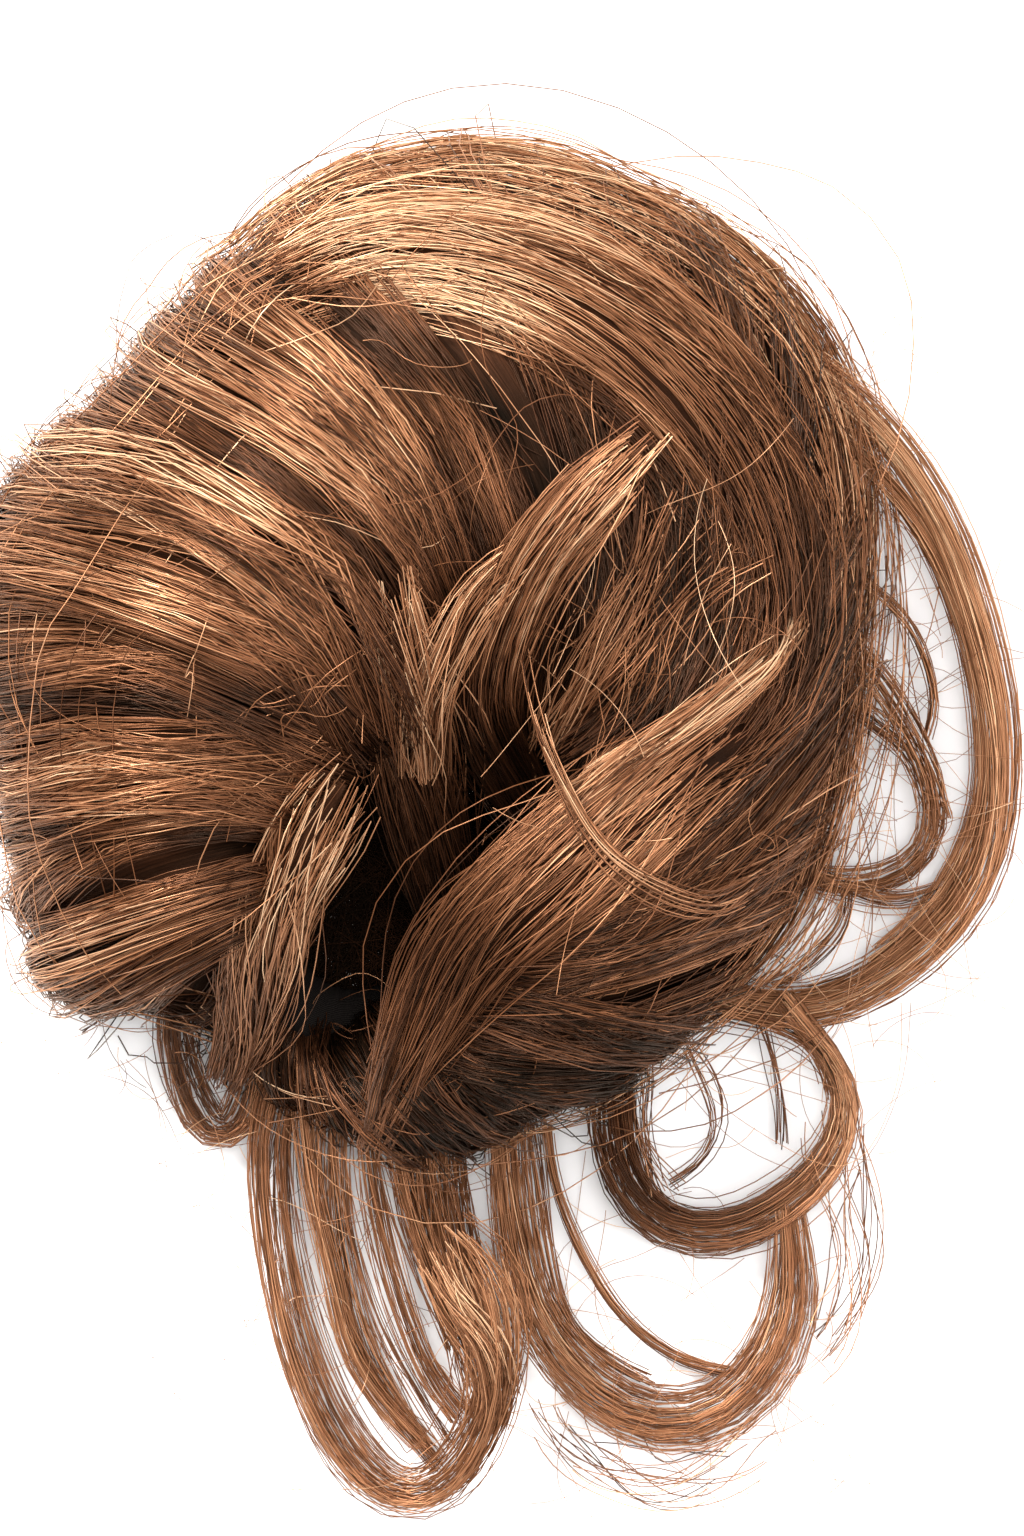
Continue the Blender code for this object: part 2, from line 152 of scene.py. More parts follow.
def hollowRadius(turn):
    angle = np.radians(turn - ringForm["hollowTurn"])
    return 1.0 / np.hypot(np.cos(angle) / ringForm["hollowLong"], np.sin(angle) / ringForm["hollowShort"])


def ringPoint(place, share):
    # place counts locks round the ring, share goes along the section
    place = np.mod(place, lockCount)
    lock = np.minimum(place.astype(int), lockCount - 1)
    partWay = place - lock
    following = (lock + 1) % lockCount
    span = np.mod(ringLocks[following, 0] - ringLocks[lock, 0], 360.0)
    outerTurn = ringLocks[lock, 0] + partWay * span
    swirl = ringLocks[lock, 1] * (1 - partWay) + ringLocks[following, 1] * partWay
    spot = np.clip(share, 0.0, 1.0) * (len(ringSection) - 1)
    below = np.minimum(spot.astype(int), len(ringSection) - 2)
    rows = [ringSection[np.clip(below + step, 0, len(ringSection) - 1)] for step in (-1, 0, 1, 2)]
    across, rise, lean = (smoothBetween(*(row[..., k] for row in rows), spot - below) for k in range(3))
    turn = outerTurn + swirl * np.clip(1 - across, 0, 1) ** ringForm["swirlBend"]
    inner = hollowRadius(turn)
    outer = np.maximum(roundTheRing(turn, 2) * ringForm["reach"], inner)
    tallness = roundTheRing(turn, 3)
    proud = np.sin(np.pi * partWay) ** ringForm["roundAcross"]
    proud = proud * np.sin(np.pi * np.clip(share, 0, 1)) ** ringForm["roundAlong"]
    swell = proud * ringLocks[lock, 4] * ringForm["groove"]
    outward = -np.cos(np.pi * share)
    distance = inner + across * (outer - inner) - lean * tallness * ringForm["rimOverhang"]
    distance = distance + swell * np.where(outward > 0, outward, ringForm["innerSwell"] * outward)
    height = rise * tallness * ringForm["height"] + swell * np.sin(np.pi * share)
    angle = np.radians(turn)
    point = np.stack((distance * np.cos(angle), distance * np.sin(angle), np.maximum(height, 0)), axis=-1)
    return point + hub


def unit(vectors):
    # the same directions, one unit long
    tiny = 1e-9
    return vectors / np.maximum(np.linalg.norm(vectors, axis=-1, keepdims=True), tiny)


def ringNormal(place, share):
    # outward normal of the wound hair, from two short steps
    stepPlace, stepShare = 0.25, 0.02
    further, nearer = np.minimum(share + stepShare, 1), np.maximum(share - stepShare, 0)
    roundStep = ringPoint(place + stepPlace, share) - ringPoint(place - stepPlace, share)
    overStep = ringPoint(place, further) - ringPoint(place, nearer)
    return unit(np.cross(overStep, roundStep))


def wander(rng, strands, steps, waves, size):
    # slow sideways drift along each strand: a few sines with their own phases
    share = np.linspace(0, 1, steps)[None, :]
    drift = np.zeros((strands, steps))
    for wave in waves:
        phase = rng.uniform(0, 2 * np.pi, (strands, 1))
        strength = rng.normal(0, 1, (strands, 1)) / len(waves) ** 0.5
        drift += strength * np.sin(2 * np.pi * wave * share + phase)
    return drift * size


def addNode(tree, kind, values=(), **settings):
    # a node with its settings, and the values of its inputs
    node = tree.nodes.new(kind)
    for key, value in settings.items():
        setattr(node, key, value)
    for key, value in dict(values).items():
        node.inputs[key].default_value = value
    return node


def newMaterial(name, values):
    # a material and its shader, with the values of the shader's inputs
    material = bpy.data.materials.new(name)
    material.use_nodes = True
    shader = material.node_tree.nodes["Principled BSDF"]
    for key, value in values.items():
        shader.inputs[key].default_value = value
    return material, shader


def setStops(ramp, stops):
    # places and colours of a ramp
    elements = ramp.color_ramp.elements
    for index, (place, colour) in ((0, stops[0]), (1, stops[-1])):
        elements[index].position = place
        elements[index].color = (*colour, 1)
    for place, colour in stops[1:-1]:
        elements.new(place).color = (*colour, 1)


def hairMaterial(name, look):
    # the tone of each point and slow patches over the piece pick a colour from the stops
    material, shader = newMaterial(name, {
        "Specular IOR Level": look["specular"], "Specular Tint": (*look["tint"], 1),
        "Metallic": look["metallic"]})
    tree, link = material.node_tree, material.node_tree.links.new
    tone = addNode(tree, "ShaderNodeAttribute", attribute_name="tone")
    place = addNode(tree, "ShaderNodeTexCoord")
    patches = addNode(tree, "ShaderNodeTexNoise", {
        "Scale": look["patchScale"], "Detail": look["patchDetail"]})
    patchSize = addNode(tree, "ShaderNodeMapRange", {
        "From Min": look["patchRange"][0], "From Max": look["patchRange"][1],
        "To Min": -look["patchAmount"], "To Max": look["patchAmount"]})
    mixed = addNode(tree, "ShaderNodeMath", operation="ADD", use_clamp=True)
    ramp = addNode(tree, "ShaderNodeValToRGB")
    setStops(ramp, look["stops"])
    fine = addNode(tree, "ShaderNodeTexNoise", {"Scale": look["fineScale"]})
    gloss = addNode(tree, "ShaderNodeMapRange", {
        "To Min": look["roughness"][0], "To Max": look["roughness"][1]})
    link(place.outputs["Object"], patches.inputs["Vector"])
    link(patches.outputs["Fac"], patchSize.inputs["Value"])
    link(tone.outputs["Fac"], mixed.inputs[0])
    link(patchSize.outputs["Result"], mixed.inputs[1])
    link(mixed.outputs["Value"], ramp.inputs["Fac"])
    link(ramp.outputs["Color"], shader.inputs["Base Color"])
    link(place.outputs["Object"], fine.inputs["Vector"])
    link(fine.outputs["Fac"], gloss.inputs["Value"])
    link(gloss.outputs["Result"], shader.inputs["Roughness"])
    return material


hairLook = {
    "patchScale": 90.0,      # size of the slow patches, in patches to a metre
    "patchDetail": 3.0,
    "patchRange": (0.3, 0.7),
    "patchAmount": 0.07,     # how much a patch changes the tone
    "fineScale": 900.0,      # size of the changes in gloss
    "roughness": (0.26, 0.42),
    "specular": 0.32,
    "metallic": 0.45,
    "tint": (1.0, 0.84, 0.68),
    "stops": (               # tone from dark 0 to gold 1, and its colour
        (0.00, (0.008, 0.004, 0.002)),
        (0.25, (0.060, 0.022, 0.010)),
        (0.50, (0.190, 0.073, 0.031)),
        (0.75, (0.440, 0.205, 0.100)),
        (1.00, (0.780, 0.500, 0.300)),
    ),
}


def addStreaks(material, look):
    # fine streaks along the piece's own UV map, for the hair that lies under the strands
    tree, link = material.node_tree, material.node_tree.links.new
    shader = tree.nodes["Principled BSDF"]
    uv = addNode(tree, "ShaderNodeUVMap", uv_map="flow")
    stretch = addNode(tree, "ShaderNodeMapping", {"Scale": (look["streaks"], look["streakLength"], 1)})
    streaks = addNode(tree, "ShaderNodeTexNoise", {
        "Scale": 1.0, "Detail": look["streakDetail"], "Roughness": look["streakRoughness"]})
    bump = addNode(tree, "ShaderNodeBump", {
        "Strength": look["bumpStrength"], "Distance": look["bumpDepth"]})
    shade = addNode(tree, "ShaderNodeValToRGB")
    setStops(shade, look["streakStops"])
    darker = addNode(tree, "ShaderNodeMix", {"Factor": 1.0}, data_type="RGBA", blend_type="MULTIPLY")
    link(uv.outputs["UV"], stretch.inputs["Vector"])
    link(stretch.outputs["Vector"], streaks.inputs["Vector"])
    link(streaks.outputs["Fac"], bump.inputs["Height"])
    link(bump.outputs["Normal"], shader.inputs["Normal"])
    link(streaks.outputs["Fac"], shade.inputs["Fac"])
    link(shader.inputs["Base Color"].links[0].from_socket, darker.inputs["A"])
    link(shade.outputs["Color"], darker.inputs["B"])
    link(darker.outputs["Result"], shader.inputs["Base Color"])


underLook = dict(
    hairLook, metallic=0.3, specular=0.1, roughness=(0.5, 0.7),
    streaks=900.0, streakLength=6.0, streakDetail=4.0, streakRoughness=0.7,
    streakStops=((0.35, (0.2, 0.2, 0.2)), (0.68, (1, 1, 1))), bumpStrength=0.9, bumpDepth=0.0003)
hairSlots = ("hair", "hair_light", "hair_dark")
strandMaterials = {slot: hairMaterial(slot + "_strands", hairLook) for slot in hairSlots}
underMaterials = {slot: hairMaterial(slot + "_under", underLook) for slot in hairSlots}
for material in underMaterials.values():
    addStreaks(material, underLook)
print("materials made")


def strandTree():
    # Geometry Nodes tree that gives a strand's line its thickness
    tree = bpy.data.node_groups.new("thicken_strands", "GeometryNodeTree")
    sockets = (("Lines", "Geometry"), ("Strand Width", "Float"), ("Sides", "Int"), ("Finish", "Material"))
    inputs = {}
    for name, kind in sockets:
        socket = tree.interface.new_socket(name, in_out="INPUT", socket_type="NodeSocket" + kind)
        inputs[name] = socket.identifier
    tree.interface.new_socket("Strands", in_out="OUTPUT", socket_type="NodeSocketGeometry")
    start = addNode(tree, "NodeGroupInput")
    lines = addNode(tree, "GeometryNodeMeshToCurve")
    girth = addNode(tree, "GeometryNodeInputNamedAttribute", data_type="FLOAT")
    girth.inputs["Name"].default_value = "girth"
    radius = addNode(tree, "GeometryNodeSetCurveRadius")
    half = addNode(tree, "ShaderNodeMath", {1: 0.5}, operation="MULTIPLY")
    profile = addNode(tree, "GeometryNodeCurvePrimitiveCircle")
    sweep = addNode(tree, "GeometryNodeCurveToMesh", {"Fill Caps": True})
    smooth = addNode(tree, "GeometryNodeSetShadeSmooth")
    real = addNode(tree, "GeometryNodeRealizeInstances")
    paint = addNode(tree, "GeometryNodeSetMaterial")
    end = addNode(tree, "NodeGroupOutput")
    link = tree.links.new
    link(start.outputs["Lines"], lines.inputs["Mesh"])
    link(lines.outputs["Curve"], radius.inputs["Curve"])
    link(girth.outputs["Attribute"], radius.inputs["Radius"])
    link(start.outputs["Strand Width"], half.inputs[0])
    link(half.outputs["Value"], profile.inputs["Radius"])
    link(start.outputs["Sides"], profile.inputs["Resolution"])
    link(radius.outputs["Curve"], sweep.inputs["Curve"])
    link(profile.outputs["Curve"], sweep.inputs["Profile Curve"])
    link(sweep.outputs["Mesh"], smooth.inputs["Geometry"])
    link(smooth.outputs["Geometry"], real.inputs["Geometry"])
    link(real.outputs["Geometry"], paint.inputs["Geometry"])
    link(start.outputs["Finish"], paint.inputs["Material"])
    link(paint.outputs["Geometry"], end.inputs["Strands"])
    return tree, inputs


thickenTree, thickenInputs = strandTree()
strandSides = 3
strandWidth = 0.00020        # of a strand whose piece sets no other
tableGap = 0.0003            # how far above the table the lowest hair lies


def addToPart(piece, nodes):
    # every piece of the hair rides on the one body
    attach(piece, "root")
    if nodes:
        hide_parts(*nodes)


def strandPiece(name, groups, slot, nodes=(), width=strandWidth, finish=None):
    # each group holds points, girth and tone for its strands and their steps
    points, girths, tones, edges = [], [], [], []
    offset = 0
    for line, girth, tone in groups:
        strands, steps = line.shape[:2]
        index = np.arange(strands * steps).reshape(strands, steps) + offset
        edges.append(np.stack((index[:, :-1], index[:, 1:]), axis=-1).reshape(-1, 2))
        points.append(line.reshape(-1, 3))
        girths.append(np.broadcast_to(girth, (strands, steps)).reshape(-1))
        tones.append(np.broadcast_to(tone, (strands, steps)).reshape(-1))
        offset += strands * steps
    points, girths, tones, edges = (np.concatenate(part) for part in (points, girths, tones, edges))
    points[:, 2] = np.maximum(points[:, 2], tableGap)
    mesh = bpy.data.meshes.new(name + "_lines")
    mesh.vertices.add(len(points))
    mesh.vertices.foreach_set("co", points.astype(np.float32).ravel())
    mesh.edges.add(len(edges))
    mesh.edges.foreach_set("vertices", edges.astype(np.int32).ravel())
    for label, values in (("girth", girths), ("tone", tones)):
        attribute = mesh.attributes.new(label, "FLOAT", "POINT")
        attribute.data.foreach_set("value", values.astype(np.float32))
    mesh.update()
    piece = bpy.data.objects.new(name, mesh)
    bpy.context.scene.collection.objects.link(piece)
    modifier = piece.modifiers.new("thicken", "NODES")
    modifier.node_group = thickenTree
    modifier[thickenInputs["Strand Width"]] = width
    modifier[thickenInputs["Sides"]] = strandSides
    modifier[thickenInputs["Finish"]] = finish or strandMaterials[slot]
    bpy.context.view_layer.update()
    made = bpy.data.meshes.new_from_object(piece.evaluated_get(bpy.context.evaluated_depsgraph_get()))
    piece.modifiers.clear()
    piece.data = made
    bpy.data.meshes.remove(mesh)
    addToPart(piece, nodes)
    strands = sum(len(line) for line, _, _ in groups)
    print(name, "strands:", strands, "triangles:", len(made.loops) - 2 * len(made.polygons))


def sheetPiece(name, points, form, tone, nodes, material):
    # closed skin over rows of points. In a "ring" the last row joins the first, and a "tube" has end caps.
    # V of its UV map runs along the hair, and round the elastic's section
    rows, columns = points.shape[:2]
    isRing = form == "ring"
    faces, flow = [], []
    for row in range(rows if isRing else rows - 1):
        nextRow = (row + 1) % rows
        low, high = row / rows, (row + 1) / rows
        for column in range(columns):
            nextColumn = (column + 1) % columns
            faces.append((row * columns + column, row * columns + nextColumn,
                          nextRow * columns + nextColumn, nextRow * columns + column))
            left, right = column / columns, (column + 1) / columns
            if isRing:
                flow += [(low, left), (low, right), (high, right), (high, left)]
            else:
                flow += [(left, low), (right, low), (right, high), (left, high)]
    if not isRing:
        faces.append(tuple(range(columns))[::-1])
        faces.append(tuple((rows - 1) * columns + column for column in range(columns)))
        flow += [(0.5, 0.0)] * columns + [(0.5, 1.0)] * columns
    mesh = bpy.data.meshes.new(name)
    mesh.from_pydata(points.reshape(-1, 3).tolist(), [], faces)
    layer = mesh.uv_layers.new(name="flow")
    layer.data.foreach_set("uv", np.array(flow, dtype=np.float32).ravel())
    tones = mesh.attributes.new("tone", "FLOAT", "POINT")
    tones.data.foreach_set("value", np.broadcast_to(tone, (rows, columns)).astype(np.float32).ravel())
    mesh.materials.append(material)
    mesh.shade_smooth()
    piece = bpy.data.objects.new(name, mesh)
    bpy.context.scene.collection.objects.link(piece)
    addToPart(piece, nodes)


def tipped(steps, rootGirth, tipGirth):
    # girth along a strand: thin at both ends, full in between
    rootShare, tipShare = 0.08, 0.25
    share = np.linspace(0, 1, steps)[None, :]
    rise = np.clip(share / rootShare, 0, 1)
    fall = np.clip((1 - share) / tipShare, 0, 1)
    return (rootGirth + (1 - rootGirth) * rise) * (tipGirth + (1 - tipGirth) * fall)


def smoothed(points, rounds):
    # the same lines with their small kinks taken out
    for _ in range(rounds):
        points[:, 1:-1] = (points[:, :-2] + 2 * points[:, 1:-1] + points[:, 2:]) / 4
    return points


def easeIn(value, low, high):
    # smooth step from 0 at low to 1 at high
    share = np.clip((value - low) / (high - low), 0, 1)
    return share * share * (3 - 2 * share)


# Partings between locks, darkened with painted shade where shadow falls between them: width and depth, then a
# line of east and north, in shares of the reach
shadedPartings = (
    (0.050, 0.85, ((-0.26, 1.15), (0.02, 0.99), (0.26, 0.80), (0.33, 0.68))),
    (0.150, 0.82, ((0.30, 0.82), (0.42, 0.56), (0.44, 0.36))),
    (0.030, 0.85, ((-0.80, 0.31), (-0.45, 0.30), (-0.15, 0.29))),
    (0.032, 0.75, ((-0.60, 0.83), (-0.37, 0.76), (-0.11, 0.64), (-0.04, 0.61))),
    (0.090, 0.60, ((-0.04, 0.48), (0.12, 0.58))),
    (0.080, 0.70, ((0.30, 0.40), (0.36, 0.20), (0.30, 0.06))),
    (0.035, 0.75, ((0.30, 0.98), (0.48, 0.80), (0.58, 0.60), (0.60, 0.42))),
    (0.022, 0.60, ((0.46, 0.96), (0.62, 0.76), (0.70, 0.52))),
    (0.025, 0.60, ((-0.72, 0.06), (-0.40, 0.05), (-0.25, 0.00))),
)


def partingShade(points):
    # painted shade of the partings: 0 away from them, up to their depth inside them
    flat = (points[..., :2] - hub[:2]) / ringForm["reach"]
    near = np.zeros(flat.shape[:-1])
    for width, depth, line in shadedPartings:
        for start, end in zip(line[:-1], line[1:]):
            start, end = np.array(start), np.array(end)
            run = end - start
            share = np.clip(((flat - start) @ run) / (run @ run), 0, 1)
            gap = np.linalg.norm(flat - start - share[..., None] * run, axis=-1)
            near = np.maximum(near, depth * np.exp(-(gap / width) ** 2))
    return near


# The body under the wound strands
ringBody = {
    "cuts": 8,               # steps to a lock
    "over": 41,              # steps over the crest
    "inset": 0.0010,         # how far it lies inside the surface that the strands follow
    "insetRound": 0.3,
    "valley": 0.45,          # painted shade: tone in the valleys between locks, against 1 on their crests
    "shade": 0.5,            # painted shade: tone against that of the strands
    "dark": (0.15, 0.5),     # shares of the section between which the hollow's painted shade ends
}


def makeRingBody():
    around, over = lockCount * ringBody["cuts"], ringBody["over"]
    place = np.arange(around)[:, None] / ringBody["cuts"] + np.zeros((1, over))
    share = np.zeros((around, 1)) + np.linspace(0, 1, over)[None, :]
    inset = ringBody["inset"] * np.sin(np.pi * share)[..., None] ** ringBody["insetRound"]
    points = ringPoint(place, share) - ringNormal(place, share) * inset
    points[:, (0, -1), 2] = tableGap
    # painted shade in the valleys between locks, in the hollow and in the partings
    valley = ringBody["valley"] + (1 - ringBody["valley"]) * np.sin(np.pi * np.mod(place, 1.0))
    tone = lockTone(place) * valley * ringBody["shade"] * easeIn(share, *ringBody["dark"])
    tone = tone * (1 - partingShade(points))
    sheetPiece("ring_body", points, "ring", tone, ("hair_ring",), underMaterials["hair"])


def lockTone(place):
    place = np.mod(place, lockCount)
    lock = place.astype(int) % lockCount
    share = place - np.floor(place)
    return ringLocks[lock, 5] * (1 - share) + ringLocks[(lock + 1) % lockCount, 5] * share


# The wound strands run from the outer foot over the crest into the hollow, in groups that keep together.
# Shares of the section go from 0 in the hollow to 1 at the outer foot
woundHair = {
    "seed": 11,
    "shiftSeed": 5,          # of the locks' wander
    "liftSeed": 7,           # of the locks' heights
    "pieces": 3,             # objects that share the strands, each under 200,000 triangles
    "groups": 190,           # in each piece
    "members": 14,
    "steps": 11,
    "width": 0.00022,
    "spacedAt": 0.75,        # share of the section where groups are spaced evenly
    "covered": (13, 19),     # locks under the crown, which lie from 41 to 99 degrees
    "coveredPart": 0.5,      # part of the groups that these locks get
    "gathered": 0.70,        # how widely groups spread over a lock, 1 for all of it
    "start": (0.08, 0.30),   # share of the section where a group starts
    "startSpread": (-0.05, 0.08),
    "ends": (0.05, 0.99),    # limits of a strand on the section
    "cutPart": 0.6,          # part of the groups whose strands end at unlike lengths
    "cut": 0.05,
    "groupWidth": 0.0034,    # size of a group's section
    "groupThickness": 0.0020,
    "gather": 0.45,          # that size at the inner end, 1 for all of it
    "gatherOver": (0.1, 0.55),       # each Over is a pair of shares of the section
    "pinch": 0.45,           # how much a group narrows and widens on its way
    "pinchWaves": (0.8, 2.2),
    "widened": 0.5,          # how much wider it is at its outer end
    "widenedOver": (0.5, 0.9),
    "twist": 1.2,            # turn of the strands round their group, in radians
    "drift": 0.16,           # sideways wander of a group, in locks
    "driftWaves": (0.3, 0.7),
    "strandDrift": 0.0005,   # and of a strand, in metres
    "strandWaves": (0.7, 1.9),
    "lift": 0.0015,          # how far groups stand off the body
    "liftDrift": 0.0004,
    "liftWaves": (0.5, 1.1),
    "liftLimits": (-0.0012, 0.009),
    "dome": 0.0022,          # how much higher the middle of a lock stands than its valleys
    "lockLift": 0.0016,      # how unlike the locks' heights are
    "lockShift": 0.34,       # how far a lock wanders over its neighbours, in locks
    "lockWaves": (0.35, 0.8),
    "fanOut": 0.60,          # how much wider a lock is at its outer end
    "fanOver": (0.45, 0.85),
    "flat": 0.8,             # how much less groups stand off there
    "flatOver": (0.62, 0.88),
    "sunk": 0.0008,          # how far they sink into the body there
    "sunkOver": (0.5, 0.8),
    "flared": 0.09,          # part of the strands whose tips stand off the outer edge
    "flare": 0.0030,
    "flareOver": (0.45, 0.95),
    "partingDepth": 0.0022,
    "toneSpread": (0.12, 0.13),      # of groups, and of strands in a group
    "bright": (0.09, 0.32),  # part of the strands that are brighter, and by how much
    "valley": 0.40,          # painted shade: tone in the valleys between locks, against 1 on their crests
    "inner": 0.20,           # painted shade: tone in the hollow, against 1 outside
    "innerOver": (0.20, 0.54),
    "deepShade": 0.60,            # painted shade: tone of hair that lies deep, against 1 on top
    "deepBelow": 0.0030,
    "girth": (0.6, 1.25),    # thinnest and thickest strands, in widths
    "taper": (0.3, 0.25),    # girth of a strand at its inner and outer ends
}


def placesAlongRing(rng, make):
    # places spread evenly along the outline, and towards the middle of each lock
    fine = np.linspace(0, lockCount, 2000)
    points = ringPoint(fine, np.full_like(fine, make["spacedAt"]))
    gaps = np.linalg.norm(np.diff(points, axis=0), axis=1)
    covered = (fine[1:] > make["covered"][0]) & (fine[1:] < make["covered"][1])
    length = np.concatenate(([0], np.cumsum(gaps * np.where(covered, make["coveredPart"], 1.0))))
    spots = (np.arange(make["groups"]) + rng.uniform(0, 1, make["groups"])) / make["groups"] * length[-1]
    places = np.interp(spots, length, fine)
    partWay = places - np.floor(places)
    return np.floor(places) + 0.5 + (partWay - 0.5) * make["gathered"]


def windStrands(make, rng):
    steps, groups, members = make["steps"], make["groups"], make["members"]
    oneEachGroup, oneEachStrand = (groups, 1, 1), (groups, members, 1)
    run = np.linspace(0, 1, steps)[None, None, :]
    centre = placesAlongRing(rng, make)[:, None, None]
    low = rng.uniform(*make["start"], oneEachGroup) + rng.uniform(*make["startSpread"], oneEachStrand)
    cut = rng.gamma(1.0, make["cut"], oneEachStrand) * (rng.uniform(0, 1, oneEachGroup) < make["cutPart"])
    share = np.clip(low + (make["ends"][1] - cut - low) * run, *make["ends"])

    # whole locks stand higher or lower and wander over each other
    lock = np.floor(centre[:, 0, 0]).astype(int) % lockCount
    partWay = centre - np.floor(centre)
    shiftRng, liftRng = np.random.default_rng(make["shiftSeed"]), np.random.default_rng(make["liftSeed"])
    lockShift = wander(shiftRng, lockCount, steps, make["lockWaves"], make["lockShift"])[lock]
    lockLift = liftRng.normal(0.6, 1.0, lockCount)[lock] * make["lockLift"]
    centre = centre + (partWay - 0.5) * make["fanOut"] * easeIn(share, *make["fanOver"])
    centre = centre + wander(rng, groups, steps, make["driftWaves"], make["drift"])[:, None, :]
    centre = centre + lockShift[:, None, :]

    # each strand's place in the group's oval section, drawn together at the inner end
    distance = np.sqrt(rng.uniform(0, 1, oneEachStrand))
    angle = rng.uniform(0, 2 * np.pi, oneEachStrand) + rng.normal(0, make["twist"], oneEachGroup) * run
    gather = make["gather"] + (1 - make["gather"]) * easeIn(share, *make["gatherOver"])
    waves = rng.uniform(*make["pinchWaves"], oneEachGroup) * run + rng.uniform(0, 2, oneEachGroup)
    spread = distance * gather * (1 + make["pinch"] * np.sin(np.pi * waves))
    spread = spread * (1 + make["widened"] * easeIn(share, *make["widenedOver"]))
    sideways = spread * np.cos(angle) * make["groupWidth"] / 2
    upwards = spread * np.sin(angle) * make["groupThickness"] / 2
    ownDrift = wander(rng, groups * members, steps, make["strandWaves"], make["strandDrift"])
    sideways = sideways + ownDrift.reshape(groups, members, steps)

    # height over the body
    lift = rng.gamma(1.6, 0.35, oneEachGroup) * make["lift"] + upwards
    lift = lift + wander(rng, groups, steps, make["liftWaves"], make["liftDrift"])[:, None, :]
    lift = lift + make["dome"] * np.sin(np.pi * partWay)
    lift = lift + lockLift[:, None, None] * np.sin(np.pi * share) ** 2
    lift = lift * (1 - make["flat"] * easeIn(share, *make["flatOver"]))
    lift = lift - make["sunk"] * easeIn(share, *make["sunkOver"])
    flared = (rng.uniform(0, 1, oneEachStrand) < make["flared"]) * rng.gamma(2.0, 0.5, oneEachStrand)
    lift = lift + flared * make["flare"] * easeIn(share, *make["flareOver"])

    place = centre + np.zeros(oneEachStrand)
    place, share, lift, sideways = (part.reshape(-1, steps) for part in (place, share, lift, sideways))
    surface = ringPoint(place, share)
    aside = unit(ringPoint(place + 0.1, share) - ringPoint(place - 0.1, share))
    shaded = partingShade(surface)
    lift = np.clip(lift - make["partingDepth"] * shaded, *make["liftLimits"])
    points = surface + aside * sideways[..., None] + ringNormal(place, share) * lift[..., None]

    # painted shade: hair in the valleys, in the hollow, in the partings and deeper down is darker
    strands = groups * members
    tone = lockTone(place)
    tone = tone + rng.normal(0, make["toneSpread"][0], (groups, 1)).repeat(members, 1).reshape(-1, 1)
    tone = tone + rng.normal(0, make["toneSpread"][1], (strands, 1))
    tone = tone + make["bright"][1] * (rng.uniform(0, 1, (strands, 1)) < make["bright"][0])
    crest = np.sin(np.pi * (partWay + np.zeros(oneEachStrand))).reshape(-1, 1)
    tone = np.clip(tone, 0.02, 1) * (make["valley"] + (1 - make["valley"]) * crest)
    tone = tone * (make["inner"] + (1 - make["inner"]) * easeIn(share, *make["innerOver"])) * (1 - shaded)
    tone = tone * (make["deepShade"] + (1 - make["deepShade"]) * easeIn(lift, 0.0, make["deepBelow"]))
    girth = tipped(steps, *make["taper"]) * rng.uniform(*make["girth"], (strands, 1))
    return points, girth, tone


# Strands that run round the outline instead of into the hollow
outlineHair = {
    "seed": 17,
    "steps": 14,
    "width": 0.00022,
    "gap": 0.0018,           # least height over the body
    "slope": 0.05,           # how much strands climb or fall over the section
    "highest": 0.95,         # share of the section that they don't pass
    "toneSpread": 0.15,
    "girth": (0.6, 1.1),     # thinnest and thickest strands, in widths
    "taper": (0.3, 0.3),     # girth of a strand at its two ends
    "rows": {
        # count, first and last lock, spread in locks, shares of the section low and high, lift, tone
        "crown": (300, 19.0, 12.5, 1.3, 0.60, 0.94, 0.0022, 0.74),
        "shoulder": (160, 14.5, 8.0, 1.6, 0.45, 0.93, 0.0016, 0.34),
        "side": (150, 14.0, 5.5, 2.0, 0.68, 0.93, 0.0050, 0.62),
        "left": (24, 30.0, 18.0, 3.0, 0.35, 0.70, 0.0030, 0.60),
    },
}


def outlineStrands(rng, count, first, last, spread, low, high, lift, tone):
    make, steps = outlineHair, outlineHair["steps"]
    share = np.linspace(0, 1, steps)[None, :]
    start = first + rng.normal(0, spread, (count, 1))
    place = start + (last - first) * rng.uniform(0.35, 0.8, (count, 1)) * share
    level = rng.uniform(low, high, (count, 1)) + rng.normal(0, make["slope"], (count, 1)) * share
    level = np.clip(level + wander(rng, count, steps, (0.5, 1.0), 0.02), low - 0.1, make["highest"])
    off = rng.gamma(1.5, 0.5, (count, 1)) * lift * (0.25 + 0.75 * np.sin(np.pi * share)) + make["gap"]
    points = smoothed(ringPoint(place, level) + ringNormal(place, level) * off[..., None], 2)
    tones = np.clip(tone + rng.normal(0, make["toneSpread"], (count, 1)), 0.05, 1)
    return points, tipped(steps, *make["taper"]) * rng.uniform(*make["girth"], (count, 1)), tones


makeRingBody()
outlineRng = np.random.default_rng(outlineHair["seed"])
outlineGroups = [outlineStrands(outlineRng, *row) for row in outlineHair["rows"].values()]
strandPiece("outline_hair", outlineGroups, "hair", ("hair_ring",), outlineHair["width"])
woundRng = np.random.default_rng(woundHair["seed"])
for index in range(woundHair["pieces"]):
    groups = [windStrands(woundHair, woundRng)]
    strandPiece("wound_hair_%d" % (index + 1), groups, "hair", ("hair_ring",), woundHair["width"])
print("wound hair made")

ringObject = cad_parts["hair_ring"]
ringTree = BVHTree.FromPolygons([ringObject.matrix_world @ vertex.co for vertex in ringObject.data.vertices],
                                [face.vertices[:] for face in ringObject.data.polygons])


def ringTop(east, north):
    # height of the solid ring under a place in the row frame, or 0 beside it
    aboveAll = 0.2
    hit = ringTree.ray_cast(Vector((east, north, aboveAll)), Vector((0, 0, -1)))[0]
    return hit.z if hit else 0.0


routeCuts = 12               # between two rows of a route, before its points are spaced evenly
routePoints = 97


